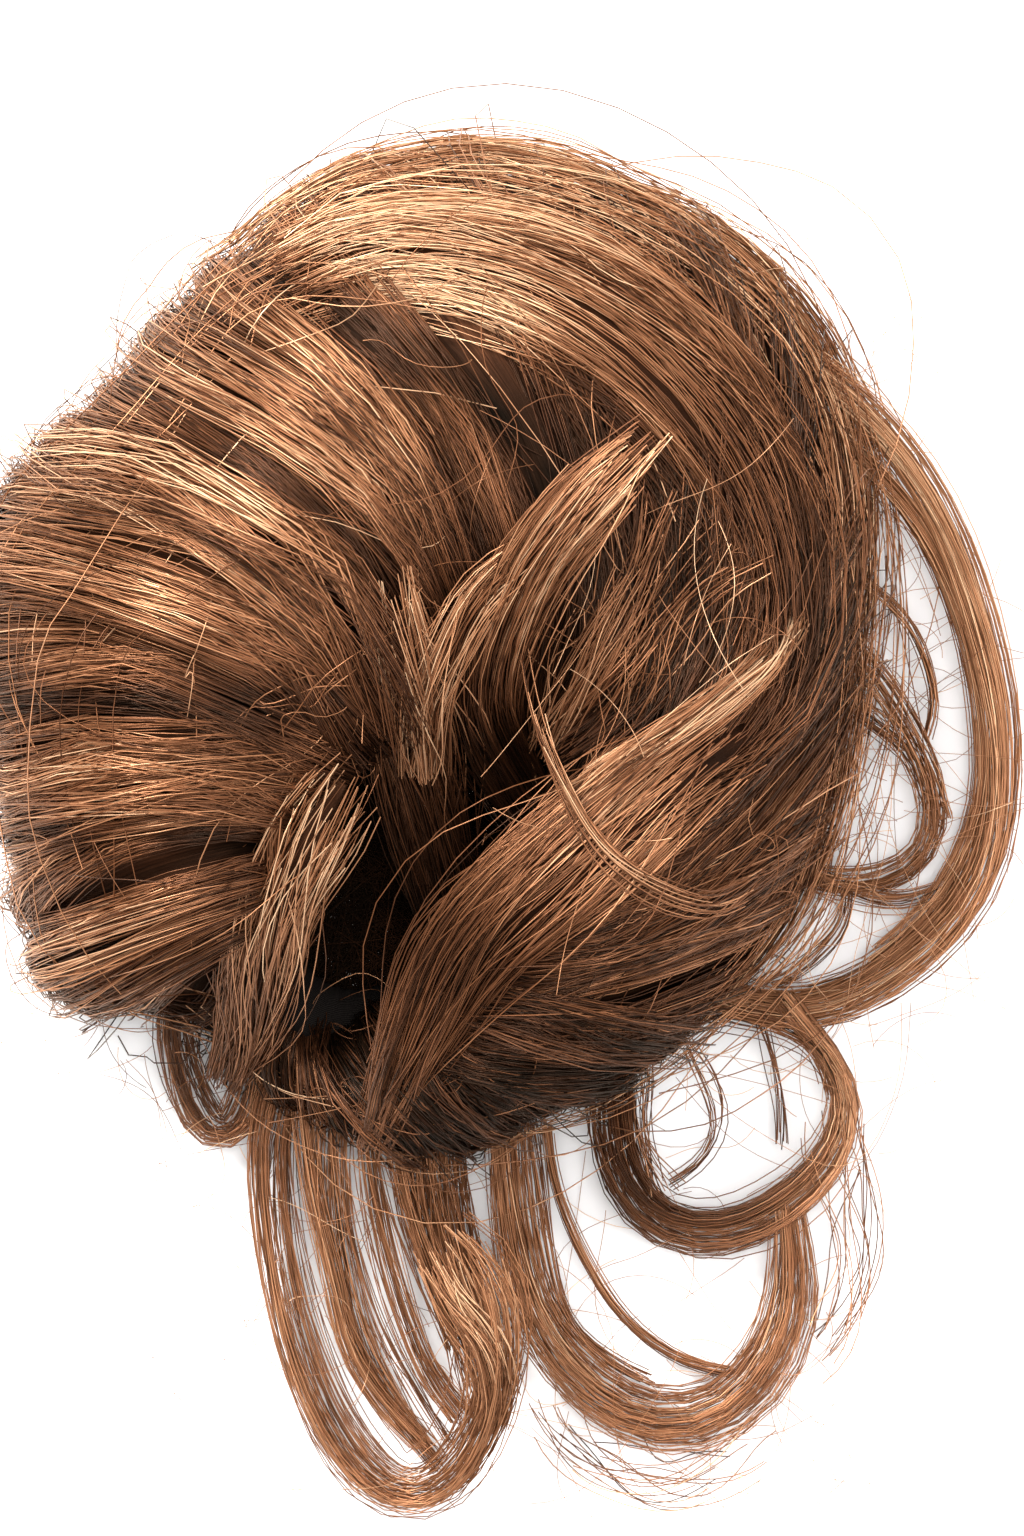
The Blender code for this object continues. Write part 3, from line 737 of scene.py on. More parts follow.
def smoothRoute(rows, rides=0.0, rests=None):
    # evenly spaced points through rows of east, north, rise and girth.
    # rides is the thickness of a lock whose rise counts from the ring's top, in thicknesses.
    # rests is the clearance that a lock keeps above the ring
    rows = np.array(rows, dtype=float)
    corners = rows.copy()
    corners[:, :2] = corners[:, :2] * ringForm["reach"] + hub[:2]
    corners[:, 2] = rows[:, 2] * ringForm["height"]
    for index in range(len(corners)):
        top = ringTop(corners[index, 0], corners[index, 1])
        if rides:
            corners[index, 2] = top + rows[index, 2] * rides
        elif rests is not None:
            corners[index, 2] = max(corners[index, 2], top + rests)
    ends = (2 * corners[0] - corners[1], 2 * corners[-1] - corners[-2])
    padded = np.vstack((ends[0], corners, ends[1]))
    share = np.linspace(0, 1, routeCuts, endpoint=False)[:, None]
    runs = [smoothBetween(*padded[index:index + 4], share) for index in range(len(corners) - 1)]
    dense = np.vstack(runs + [corners[-1:]])
    length = np.concatenate(([0], np.cumsum(np.linalg.norm(np.diff(dense[:, :3], axis=0), axis=1))))
    even = np.linspace(0, length[-1], routePoints)
    return np.stack([np.interp(even, length, dense[:, column]) for column in range(dense.shape[1])], axis=1)


def routeAt(route, share):
    # route values at shares of its length, straight on past both ends
    last = len(route) - 1
    spot = share * last
    inside = np.clip(spot, 0, last)
    columns = [np.interp(inside, np.arange(last + 1), column) for column in route.T]
    before = np.minimum(spot, 0)[..., None] * (route[1] - route[0])
    after = np.maximum(spot - last, 0)[..., None] * (route[-1] - route[-2])
    return np.stack(columns, axis=-1) + before + after


def routeFrames(route):
    # sideways and upward directions at each point of a route
    ahead = unit(np.gradient(route[:, :3], axis=0))
    side = unit(np.cross(ahead, (0, 0, 1)))
    return side, np.cross(side, ahead)


def toneAlong(tone, share):
    # one tone, or pairs of place along the lock and tone there
    if isinstance(tone, float):
        return np.full(share.shape, tone)
    places, values = zip(*tone)
    return np.interp(share, places, values)


# What a lock or wisp is made of where it says nothing else
plainLock = {
    "members": 7,            # strands to a group
    "core": 0.0,             # size of the body inside it, against its own, painted dark as shade
    "twist": 1.0,            # turn of its groups round each other, in radians
    "loose": 1.6,            # size of a group's section
    "frizz": 0.05,           # sideways wander of a strand, in half widths
    "strays": 0.12,          # part of the strands that leave the lock and come back
    "ragged": (0.03, 0.03),  # how unlike its strands' first and last ends are
    "fray": (0.0, 0.0),      # how much wider it is at its first and last ends
    "longer": 0.0,           # how far strands run past its last end
    "root": 0.5,             # girth of a strand at its first and last ends
    "tip": 0.3,
    "mixed": 1.0,            # how unlike its strands' tones are
    "partedShade": 0.0,           # how much the partings' painted shade darkens it
}

# What is alike in every lock and wisp
lockHabit = {
    "sway": 0.16,            # sideways wander of a group, in half widths
    "swayWaves": (0.6, 1.3),
    "frizzWaves": (0.8, 1.7),
    "twistSpread": 0.3,
    "strandTwist": 1.5,      # turn of the strands round their group, in radians
    "pinch": 0.5,            # how much a group narrows and widens on its way
    "pinchWaves": (0.8, 2.4),
    "strayOut": (0.4, 1.5),  # how far a stray leaves the lock, in half widths
    "strayRise": 0.7,
    "frayOver": ((0.0, 0.25), (0.72, 1.0)),
    "toneSpread": (0.10, 0.13),      # of groups, and of strands in a group
    "topPaintedLight": 0.12,        # painted light: how much lighter the top of a lock is
    "girth": (0.6, 1.2),     # thinnest and thickest strands, in widths
}


def bundle(rng, route, own):
    # strands of one loose lock, in groups that keep together
    look = dict(plainLock, **lockHabit, **own)
    groups, members, steps = look["groups"], look["members"], look["steps"]
    oneEachGroup, oneEachStrand = (groups, 1, 1), (groups, members, 1)
    strands = groups * members
    run = np.linspace(0, 1, steps)[None, :]
    cuts = [np.abs(rng.normal(0, cut, (groups, 1))) + np.abs(rng.normal(0, cut / 2, (groups, members)))
            for cut in look["ragged"]]
    start, end = cuts[0].reshape(-1, 1), (1 - cuts[1]).reshape(-1, 1) + look["longer"]
    share = start + (end - start) * run
    middle = routeAt(route, share)
    side, up = (routeAt(part, np.clip(share, 0, 1)) for part in routeFrames(route))
    girth = np.interp(share, np.linspace(0, 1, len(route)), route[:, 3])

    # groups turn round the middle, and strands round their group
    radius = np.sqrt(rng.uniform(look["core"] ** 2, 1, (groups, 1)))[:, :, None]
    turn = rng.uniform(0, 2 * np.pi, (groups, 1))[:, :, None] \
        + look["twist"] * run[None] * rng.normal(1, look["twistSpread"], oneEachGroup)
    across = radius * np.cos(turn) + wander(rng, groups, steps, look["swayWaves"], look["sway"])[:, None, :]
    above = radius * np.sin(turn) + wander(rng, groups, steps, look["swayWaves"], look["sway"])[:, None, :]
    turn = rng.uniform(0, 2 * np.pi, oneEachStrand) + look["strandTwist"] * run[None]
    spread = np.sqrt(rng.uniform(0, 1, oneEachStrand)) * look["loose"] / groups ** 0.5
    waves = rng.uniform(*look["pinchWaves"], oneEachGroup) * run[None] + rng.uniform(0, 2, oneEachGroup)
    spread = spread * (1 + look["pinch"] * np.sin(np.pi * waves))
    across = (across + spread * np.cos(turn)).reshape(strands, steps)
    above = (above + spread * np.sin(turn)).reshape(strands, steps)
    across = across + wander(rng, strands, steps, look["frizzWaves"], look["frizz"])
    above = above + wander(rng, strands, steps, look["frizzWaves"], look["frizz"])
    stray = (rng.uniform(0, 1, (strands, 1)) < look["strays"]) * rng.uniform(*look["strayOut"], (strands, 1))
    leave = stray * np.sin(np.pi * run ** rng.uniform(0.6, 1.6, (strands, 1)))
    turn = rng.uniform(0, 2 * np.pi, (strands, 1))
    across = across + leave * np.cos(turn)
    above = above + leave * np.abs(np.sin(turn)) * look["strayRise"]

    firstOver, lastOver = look["frayOver"]
    opening = 1 + look["fray"][0] * (1 - easeIn(share, *firstOver))
    opening = opening + look["fray"][1] * easeIn(share, *lastOver)
    size = girth * opening / 2
    points = middle[..., :3] + side * (across * size * look["width"])[..., None] \
        + up * (above * size * look["thickness"])[..., None]
    points = smoothed(points, 1)

    # painted light and shade: strands on top of the lock are lighter, and the partings darken it
    base = toneAlong(look["tone"], share) * (1 - look["partedShade"] * partingShade(points))
    groupSpread, strandSpread = look["toneSpread"]
    tone = rng.normal(0, groupSpread, oneEachGroup) + rng.normal(0, strandSpread, oneEachStrand)
    tone = tone + look["topPaintedLight"] * np.clip(above.reshape(groups, members, steps), -1, 1)
    tone = base + tone.reshape(strands, steps) * (0.35 + base) * look["mixed"]
    girth = tipped(steps, look["root"], look["tip"]) * rng.uniform(*look["girth"], (strands, 1))
    return points, girth, np.clip(tone, 0.0, 1)


# The body inside a thick lock, painted darker than its strands as shade
coreForm = {"sides": 12, "steps": 25, "from": 0.04, "to": 0.96, "roundEnds": 0.35, "shade": 0.45}


def makeCore(name, route, look, slot, nodes):
    share = np.linspace(coreForm["from"], coreForm["to"], coreForm["steps"])
    middle = routeAt(route, share)
    side, up = (routeAt(part, share)[:, None, :] for part in routeFrames(route))
    ends = np.sin(np.pi * np.linspace(0.02, 0.98, coreForm["steps"])) ** coreForm["roundEnds"]
    size = (middle[:, 3] * look["core"] * ends / 2)[:, None]
    # turned this way round, so that faces look outward
    turn = np.linspace(0, -2 * np.pi, coreForm["sides"], endpoint=False)[None, :]
    points = middle[:, None, :3] + side * (np.cos(turn) * size * look["width"])[..., None] \
        + up * (np.sin(turn) * size * look["thickness"])[..., None]
    points[..., 2] = np.maximum(points[..., 2], tableGap)
    tone = toneAlong(look["tone"], share)[:, None] * coreForm["shade"]
    sheetPiece(name, points, "tube", tone, nodes, underMaterials[slot])


# Loose locks on the solids' routes. A row of a route is east, north, rise and girth. Tones are pairs of a
# place along the lock and the tone there. A lock that rides counts its rise from the top of the ring
locksSeed = 23
looseLocks = {
    "crown_sweep": dict(
        width=0.024, thickness=0.012, rides=True, slot="hair",
        tone=((0.0, 0.90), (0.26, 0.82), (0.42, 0.50), (0.62, 0.32), (0.80, 0.22), (1.0, 0.36)),
        groups=88, members=8, steps=17, core=0.62, twist=0.5, ragged=(0.05, 0.10), fray=(0.5, 0.5),
        strays=0.1, longer=0.08, partedShade=0.9,
        route=((-0.28, 1.10, 0.00, 0.35), (-0.04, 1.19, 0.02, 0.70), (0.24, 1.12, 0.05, 1.00),
               (0.48, 0.94, 0.05, 1.10), (0.64, 0.70, 0.05, 1.05), (0.69, 0.45, 0.10, 0.90),
               (0.60, 0.29, 0.15, 0.70), (0.44, 0.19, 0.20, 0.40))),
    "crossing_lock": dict(
        width=0.0155, thickness=0.011, slot="hair_light",
        tone=((0.0, 0.45), (0.15, 0.50), (0.32, 0.58), (0.46, 0.42), (0.58, 0.28), (1.0, 0.38)),
        groups=52, members=8, steps=15, core=0.60, twist=0.6, ragged=(0.15, 0.12), fray=(0.3, 0.0),
        longer=0.06, tip=0.15, root=0.2,
        route=((0.72, 0.27, 0.76, 0.55), (0.58, 0.18, 0.84, 0.90), (0.42, 0.06, 0.88, 1.10),
               (0.28, -0.05, 0.88, 1.05), (0.14, -0.17, 0.84, 0.90), (0.05, -0.32, 0.76, 0.72),
               (-0.02, -0.46, 0.64, 0.58), (-0.07, -0.58, 0.48, 0.35))),
    # painted shade: the left tuft's root, down in the hollow, is near black
    "left_tuft": dict(
        width=0.0120, thickness=0.007, slot="hair",
        tone=((0.0, 0.05), (0.30, 0.24), (0.6, 0.52), (1.0, 0.72)), groups=38, steps=11,
        core=0.50, twist=0.5, ragged=(0.02, 0.20), fray=(0.0, 0.15), longer=0.10, strays=0.06, tip=0.10,
        route=((0.08, -0.12, 0.50, 0.70), (0.05, 0.02, 0.58, 0.90), (0.02, 0.18, 0.72, 1.00),
               (0.00, 0.34, 0.96, 1.00), (-0.02, 0.50, 1.04, 0.60))),
    # painted shade: the right tuft's root, down in the hollow, is near black
    "right_tuft": dict(
        width=0.0090, thickness=0.007, slot="hair_light",
        tone=((0.0, 0.0), (0.3, 0.08), (0.5, 0.40), (0.75, 0.58), (1.0, 0.62)), groups=36, steps=14,
        core=0.50, twist=0.6, ragged=(0.02, 0.20), fray=(0.0, 0.5), longer=0.06, strays=0.10, tip=0.12,
        route=((0.30, 0.02, 0.52, 0.70), (0.22, 0.13, 0.62, 0.90), (0.16, 0.28, 0.78, 1.00),
               (0.19, 0.43, 0.98, 1.00), (0.27, 0.58, 1.06, 1.05), (0.37, 0.69, 1.10, 0.90),
               (0.47, 0.79, 1.12, 0.45))),
    "lower_tuft": dict(
        width=0.0100, thickness=0.0065, slot="hair",
        tone=((0.0, 0.30), (0.3, 0.46), (0.7, 0.62), (1.0, 0.72)), groups=36, steps=12, core=0.50, twist=0.9,
        ragged=(0.04, 0.22), fray=(0.2, 0.5), longer=0.06, strays=0.20, tip=0.12, frizz=0.12,
        route=((-0.40, -0.50, 0.14, 0.40), (-0.33, -0.36, 0.36, 0.80), (-0.27, -0.15, 0.72, 1.00),
               (-0.19, 0.03, 0.92, 1.00), (-0.10, 0.17, 1.01, 0.55))),
    "side_loop": dict(
        width=0.0058, thickness=0.0046, slot="hair_light", mixed=0.6,
        tone=((0.0, 0.74), (0.3, 0.68), (0.7, 0.58), (1.0, 0.62)), groups=19, members=6, steps=24,
        twist=1.4, ragged=(0.02, 0.03), strays=0.08,
        route=((0.76, 1.04, 0.42, 0.90), (0.95, 0.91, 0.31, 1.00), (1.11, 0.70, 0.22, 1.00),
               (1.21, 0.42, 0.15, 1.00), (1.24, 0.18, 0.11, 1.00), (1.19, -0.07, 0.09, 1.05),
               (1.02, -0.25, 0.08, 1.10), (0.80, -0.34, 0.09, 0.95), (0.56, -0.27, 0.16, 0.70))),
    "small_side_loop": dict(
        width=0.0040, thickness=0.0030, slot="hair_light", tone=0.56, groups=7, members=6, steps=20,
        twist=1.2, mixed=0.6, strays=0.2,
        route=((0.79, 0.54, 0.36, 0.90), (0.90, 0.42, 0.26, 1.00), (1.00, 0.30, 0.20, 1.00),
               (1.08, 0.14, 0.15, 1.00), (1.08, 0.01, 0.11, 1.00), (1.00, -0.06, 0.10, 1.00),
               (0.88, -0.07, 0.12, 0.90), (0.70, -0.03, 0.18, 0.80))),
    "curl": dict(
        width=0.0070, thickness=0.0055, slot="hair_dark",
        tone=((0.0, 0.24), (0.35, 0.32), (0.6, 0.46), (0.8, 0.64), (1.0, 0.60)),
        groups=22, members=6, steps=20, mixed=0.7, ragged=(0.02, 0.03), strays=0.10, longer=0.10,
        route=((0.42, -0.36, 0.28, 0.90), (0.41, -0.52, 0.22, 1.00), (0.43, -0.67, 0.16, 1.00),
               (0.51, -0.78, 0.12, 1.00), (0.65, -0.81, 0.10, 1.00), (0.80, -0.74, 0.10, 0.90),
               (0.90, -0.62, 0.11, 0.75), (0.91, -0.49, 0.12, 0.60), (0.84, -0.39, 0.13, 0.50))),
    "low_loop": dict(
        width=0.0070, thickness=0.0050, slot="hair", tone=0.57, groups=20, members=6, steps=20,
        twist=1.2, frizz=0.10, mixed=0.6, ragged=(0.02, 0.02), strays=0.18, longer=0.03,
        route=((0.20, -0.48, 0.30, 0.80), (0.21, -0.73, 0.20, 0.80), (0.26, -0.98, 0.12, 0.90),
               (0.38, -1.14, 0.09, 1.00), (0.52, -1.21, 0.08, 1.05), (0.67, -1.17, 0.08, 1.00),
               (0.77, -1.04, 0.09, 0.95), (0.80, -0.92, 0.10, 0.85), (0.79, -0.78, 0.11, 0.60))),
    "hanging_loop": dict(
        width=0.0060, thickness=0.0045, slot="hair",
        tone=((0.0, 0.40), (0.3, 0.54), (0.6, 0.54), (0.85, 0.60), (1.0, 0.72)),
        groups=17, members=6, steps=24, twist=1.2, frizz=0.10, mixed=0.6, ragged=(0.02, 0.08),
        fray=(0.2, 0.8), strays=0.16,
        route=((-0.20, -0.38, 0.12, 0.80), (-0.28, -0.54, 0.11, 0.90), (-0.29, -0.73, 0.10, 1.00),
               (-0.25, -1.00, 0.08, 1.00), (-0.16, -1.23, 0.07, 1.00), (-0.04, -1.36, 0.07, 1.05),
               (0.07, -1.33, 0.12, 1.10), (0.15, -1.19, 0.20, 1.15), (0.18, -1.02, 0.28, 1.10),
               (0.15, -0.87, 0.33, 0.90), (0.06, -0.77, 0.34, 0.45))),
    "inner_hanging_loop": dict(
        width=0.0050, thickness=0.0035, slot="hair", tone=0.51, groups=9, members=6, steps=16,
        mixed=0.6, strays=0.2,
        route=((-0.11, -0.40, 0.13, 0.90), (-0.155, -0.56, 0.11, 1.00), (-0.155, -0.77, 0.09, 1.00),
               (-0.10, -1.00, 0.07, 1.00), (-0.01, -1.17, 0.06, 0.90), (0.08, -1.30, 0.06, 0.70))),
    "wide_hanging_lock": dict(
        width=0.0090, thickness=0.0040, slot="hair", tone=0.52, groups=26, members=6, steps=10, mixed=0.6,
        twist=0.6, ragged=(0.02, 0.12), fray=(0.2, 0.8), strays=0.16,
        route=((0.04, -0.42, 0.22, 1.00), (0.045, -0.67, 0.16, 1.00), (0.08, -0.86, 0.11, 0.90),
               (0.135, -1.04, 0.08, 0.75), (0.19, -1.18, 0.06, 0.50))),
    "folded_loop": dict(
        width=0.0055, thickness=0.0040, slot="hair_light", groups=13, members=6, steps=16,
        tone=((0.0, 0.12), (0.4, 0.40), (0.7, 0.52), (1.0, 0.60)), twist=0.8, mixed=0.7, strays=0.1,
        route=((-0.40, -0.22, 0.20, 0.80), (-0.49, -0.33, 0.13, 1.00), (-0.48, -0.47, 0.10, 1.00),
               (-0.435, -0.58, 0.08, 1.00), (-0.38, -0.60, 0.08, 1.00), (-0.345, -0.52, 0.09, 0.90),
               (-0.33, -0.42, 0.10, 0.70))),
}

locksRng = np.random.default_rng(locksSeed)
for name, look in looseLocks.items():
    route = smoothRoute(look["route"], rides=look["thickness"] if look.get("rides") else 0.0)
    if "core" in look:
        makeCore(name + "_core", route, look, look["slot"], (name,))
    strandPiece(name + "_hair", [bundle(locksRng, route, look)], look["slot"], (name,))
print("loose locks made")

# Thin wisps that have no solid. A row of a route is east, north and rise
wispsSeed = 31
wispFlatness = 0.6           # a wisp's thickness, in its widths
wispPieces = {
    "inner_wisps": ("hair", (
        dict(width=0.015, groups=40, members=4, steps=10, tone=0.50, ragged=(0.10, 0.25), fray=(-0.4, 1.0),
             rests=0.003, frizz=0.03, strays=0.03, twist=0.1,
             route=((0.27, 0.18, 0.68), (0.38, 0.34, 0.80), (0.48, 0.52, 0.86), (0.58, 0.70, 0.90))),
        dict(width=0.0030, groups=5, members=4, steps=16, tone=0.56, rests=0.002, ragged=(0.16, 0.12),
             root=0.15,
             route=((0.22, 0.46, 1.02), (0.25, 0.30, 1.0), (0.30, 0.16, 1.0), (0.38, 0.02, 1.02),
                    (0.48, -0.06, 1.0), (0.61, -0.10, 0.9), (0.73, -0.04, 0.75))),
        dict(width=0.0035, groups=8, members=7, steps=10, tone=0.45, rests=0.001,
             route=((-0.20, 0.20, 0.98), (-0.25, 0.10, 0.94), (-0.26, -0.06, 0.84), (-0.25, -0.22, 0.62))),
        dict(width=0.0050, groups=14, members=7, steps=13, tone=0.70, rests=0.003, ragged=(0.08, 0.15),
             route=((0.79, 0.48, 0.72), (0.74, 0.39, 0.80), (0.65, 0.31, 0.86), (0.55, 0.24, 0.90),
                    (0.42, 0.17, 0.90), (0.32, 0.11, 0.86))),
        # painted shade: this wisp lies in the hollow's shade and is near black
        dict(width=0.008, groups=20, members=7, steps=11, tone=0.05, rests=0.001,
             route=((0.24, 0.58, 0.98), (0.18, 0.40, 0.86), (0.16, 0.26, 0.72), (0.20, 0.14, 0.58),
                    (0.27, 0.04, 0.46))),
        dict(width=0.0055, groups=12, members=7, steps=11, tone=0.60, rests=0.002, ragged=(0.16, 0.03),
             route=((0.27, 0.58, 1.08), (0.16, 0.51, 1.05), (0.09, 0.40, 1.0), (0.04, 0.28, 0.92),
                    (0.03, 0.14, 0.78))))),
    "side_wisps": ("hair_light", (
        dict(width=0.003, groups=9, members=6, steps=20, tone=0.50,
             route=((0.86, 0.88, 0.34), (1.04, 0.70, 0.24), (1.145, 0.49, 0.17), (1.19, 0.31, 0.12),
                    (1.20, 0.125, 0.10), (1.155, -0.02, 0.09), (1.07, -0.145, 0.08), (0.94, -0.25, 0.08))),
        dict(width=0.0015, groups=3, members=5, steps=12, tone=0.45,
             route=((0.90, 0.58, 0.3), (1.0, 0.5, 0.25), (1.06, 0.42, 0.2), (1.09, 0.31, 0.17),
                    (1.07, 0.23, 0.15))),
        dict(width=0.0025, groups=4, members=6, steps=12, tone=0.48,
             route=((0.86, 0.33, 0.25), (0.96, 0.27, 0.2), (1.06, 0.19, 0.15), (1.12, 0.04, 0.12))),
        dict(width=0.002, groups=4, members=6, steps=12, tone=0.50,
             route=((0.80, -0.04, 0.2), (0.92, -0.09, 0.12), (1.02, -0.11, 0.1), (1.12, -0.08, 0.08))),
        dict(width=0.0015, groups=3, members=5, steps=12, tone=0.48,
             route=((0.92, -0.07, 0.1), (0.90, -0.17, 0.08), (0.81, -0.26, 0.08), (0.75, -0.29, 0.08))))),
    "hanging_wisps": ("hair", (
        dict(width=0.004, groups=5, members=6, steps=10, tone=0.45, fray=(0.0, 1.0),
             route=((0.47, -0.40, 0.2), (0.48, -0.60, 0.15), (0.52, -0.72, 0.12))),
        dict(width=0.002, groups=2, members=5, steps=12, tone=0.42,
             route=((0.56, -0.40, 0.15), (0.63, -0.56, 0.1), (0.60, -0.65, 0.08), (0.52, -0.70, 0.08))),
        dict(width=0.002, groups=2, members=5, steps=10, tone=0.50, ragged=(0.01, 0.10), longer=0.04,
             tip=0.15,
             route=((0.71, -0.29, 0.14), (0.745, -0.39, 0.12), (0.78, -0.51, 0.1), (0.785, -0.66, 0.08))),
        dict(width=0.0016, groups=4, members=6, steps=18, tone=0.52, mixed=0.6,
             route=((0.28, -0.54, 0.25), (0.30, -0.69, 0.18), (0.35, -0.83, 0.14), (0.44, -0.98, 0.1),
                    (0.56, -1.07, 0.08), (0.69, -1.10, 0.08))),
        dict(width=0.002, groups=4, members=5, steps=16, tone=0.52, mixed=0.6,
             route=((0.25, -0.56, 0.2), (0.31, -0.94, 0.1), (0.40, -1.06, 0.08), (0.52, -1.13, 0.07))),
        dict(width=0.006, groups=9, members=2, steps=16, tone=0.60, loose=3.0, frizz=0.12,
             ragged=(0.15, 0.15),
             route=((0.90, -0.50, 0.14), (0.93, -0.73, 0.1), (0.94, -0.89, 0.07), (0.89, -1.02, 0.06),
                    (0.81, -1.09, 0.06))),
        dict(width=0.004, groups=6, members=5, steps=12, tone=0.42, ragged=(0.05, 0.08),
             route=((0.90, -0.54, 0.12), (0.86, -0.42, 0.13), (0.76, -0.36, 0.14), (0.62, -0.33, 0.16),
                    (0.50, -0.30, 0.2))),
        dict(width=0.008, groups=9, members=2, steps=16, tone=0.55, loose=3.0, frizz=0.12,
             ragged=(0.15, 0.15),
             route=((0.25, -1.10, 0.1), (0.35, -1.24, 0.06), (0.50, -1.32, 0.05), (0.645, -1.29, 0.05),
                    (0.77, -1.19, 0.06))),
        dict(width=0.003, groups=8, members=6, steps=16, tone=0.56, mixed=0.6,
             route=((-0.23, -0.44, 0.15), (-0.21, -0.69, 0.12), (-0.165, -0.89, 0.1), (-0.125, -1.06, 0.08),
                    (-0.06, -1.165, 0.07), (0.04, -1.27, 0.07))),
        dict(width=0.004, groups=9, members=6, steps=12, tone=0.54, mixed=0.6,
             route=((-0.04, -0.56, 0.2), (-0.02, -0.73, 0.16), (0.04, -0.915, 0.12), (0.10, -1.06, 0.1))),
        dict(width=0.0055, groups=17, members=6, steps=13, fray=(0.3, 0.2), ragged=(0.20, 0.10),
             tone=((0.0, 0.74), (0.4, 0.60), (1.0, 0.46)),
             route=((0.04, -0.79, 0.36), (0.09, -0.915, 0.36), (0.155, -1.02, 0.33), (0.165, -1.145, 0.26),
                    (0.125, -1.25, 0.18))),
        dict(width=0.003, groups=7, members=6, steps=14, tone=0.54, mixed=0.6,
             route=((-0.10, -0.44, 0.15), (-0.08, -0.69, 0.13), (-0.03, -0.915, 0.1), (0.04, -1.10, 0.08),
                    (0.125, -1.21, 0.08))))),
}

wispRng = np.random.default_rng(wispsSeed)
for name, (slot, wisps) in wispPieces.items():
    groups = []
    for look in wisps:
        route = smoothRoute([(*row, 1.0) for row in look["route"]], rests=look.get("rests"))
        groups.append(bundle(wispRng, route, dict(look, thickness=look["width"] * wispFlatness)))
    strandPiece(name, groups, slot)
print("wisps made")

# Hair inside the hollow, low down and without gloss, near black as painted shade of the hollow
hollowShadeHair = {
    "seed": 41,
    "strands": 1250,
    "steps": 5,
    "reach": 0.97,           # how near the hollow's wall they end, 1 for at the wall
    "across": (70, 200),     # degrees round the hollow from one end to the other
    "bend": 0.004,
    "low": 0.002,            # height in the middle of the hollow
    "high": 0.011,           # and at its wall
    "girth": 2.8,
    "toneSpread": 0.04,
    "look": dict(hairLook, specular=0.05, metallic=0.0, roughness=(0.7, 0.9)),
}


def makeHollowShadeHair():
    make = hollowShadeHair
    rng = np.random.default_rng(make["seed"])
    count, steps = make["strands"], make["steps"]
    turn = rng.uniform(0, 360, (count, 1))
    across = turn + rng.uniform(*make["across"], (count, 1))
    share = np.linspace(0, 1, steps)[None, :]
    ends = []
    for angle in (turn, across):
        distance, angle = hollowRadius(angle) * make["reach"], np.radians(angle)
        ends.append(np.stack((distance * np.cos(angle), distance * np.sin(angle)), axis=-1))
    bend = rng.normal(0, make["bend"], (count, 1, 2)) * np.sin(np.pi * share)[..., None]
    flat = ends[0] * (1 - share[..., None]) + ends[1] * share[..., None] + bend
    sag = (make["high"] - make["low"]) * np.sin(np.pi * share) ** 0.6 * rng.uniform(0.3, 1.0, (count, 1))
    points = np.concatenate((flat, (make["high"] - sag)[..., None]), axis=-1) + hub
    tone = np.clip(rng.normal(0.0, make["toneSpread"], (count, 1)), 0, 0.3)
    girth = tipped(steps, 0.8, 0.8) * make["girth"]
    dull = hairMaterial("hollow_shade_strands", make["look"])
    strandPiece("hollow_shade_hair", [(points, girth, tone)], "hair_dark", finish=dull)


makeHollowShadeHair()
print("hollow's hair made")


# The ribbed face of the elastic
elasticForm = {
    "thickness": 0.009,
    "height": 0.015,         # of its middle above the table
    "gap": 0.0003,           # to the hollow's wall
    "ribs": 46,
    "ribDepth": 0.0003,
    "around": 276,           # faces round the band, six to a rib
    "section": 16,           # faces round its section
    "weaveScale": 30.0,
    "weaveWander": 1.0,
    "colours": ((0.004, 0.003, 0.003), (0.012, 0.010, 0.009)),
    "tint": (1.0, 0.86, 0.76),
    "roughness": 0.8,
    "specular": 0.08,
    "bumpStrength": 0.6,
    "bumpDepth": 0.0003,
}


def elasticMaterial():
    form = elasticForm
    material, shader = newMaterial("elastic_weave", {
        "Roughness": form["roughness"], "Specular IOR Level": form["specular"],
        "Specular Tint": (*form["tint"], 1)})
    tree, link = material.node_tree, material.node_tree.links.new
    uv = addNode(tree, "ShaderNodeUVMap", uv_map="flow")
    weave = addNode(tree, "ShaderNodeTexWave", {
        "Scale": form["weaveScale"], "Distortion": form["weaveWander"]}, bands_direction="Y")
    dark, pale = ((*colour, 1) for colour in form["colours"])
    colour = addNode(tree, "ShaderNodeMix", {"A": dark, "B": pale}, data_type="RGBA")
    bump = addNode(tree, "ShaderNodeBump", {
        "Strength": form["bumpStrength"], "Distance": form["bumpDepth"]})
    link(uv.outputs["UV"], weave.inputs["Vector"])
    link(weave.outputs["Fac"], colour.inputs["Factor"])
    link(colour.outputs["Result"], shader.inputs["Base Color"])
    link(weave.outputs["Fac"], bump.inputs["Height"])
    link(bump.outputs["Normal"], shader.inputs["Normal"])
    return material


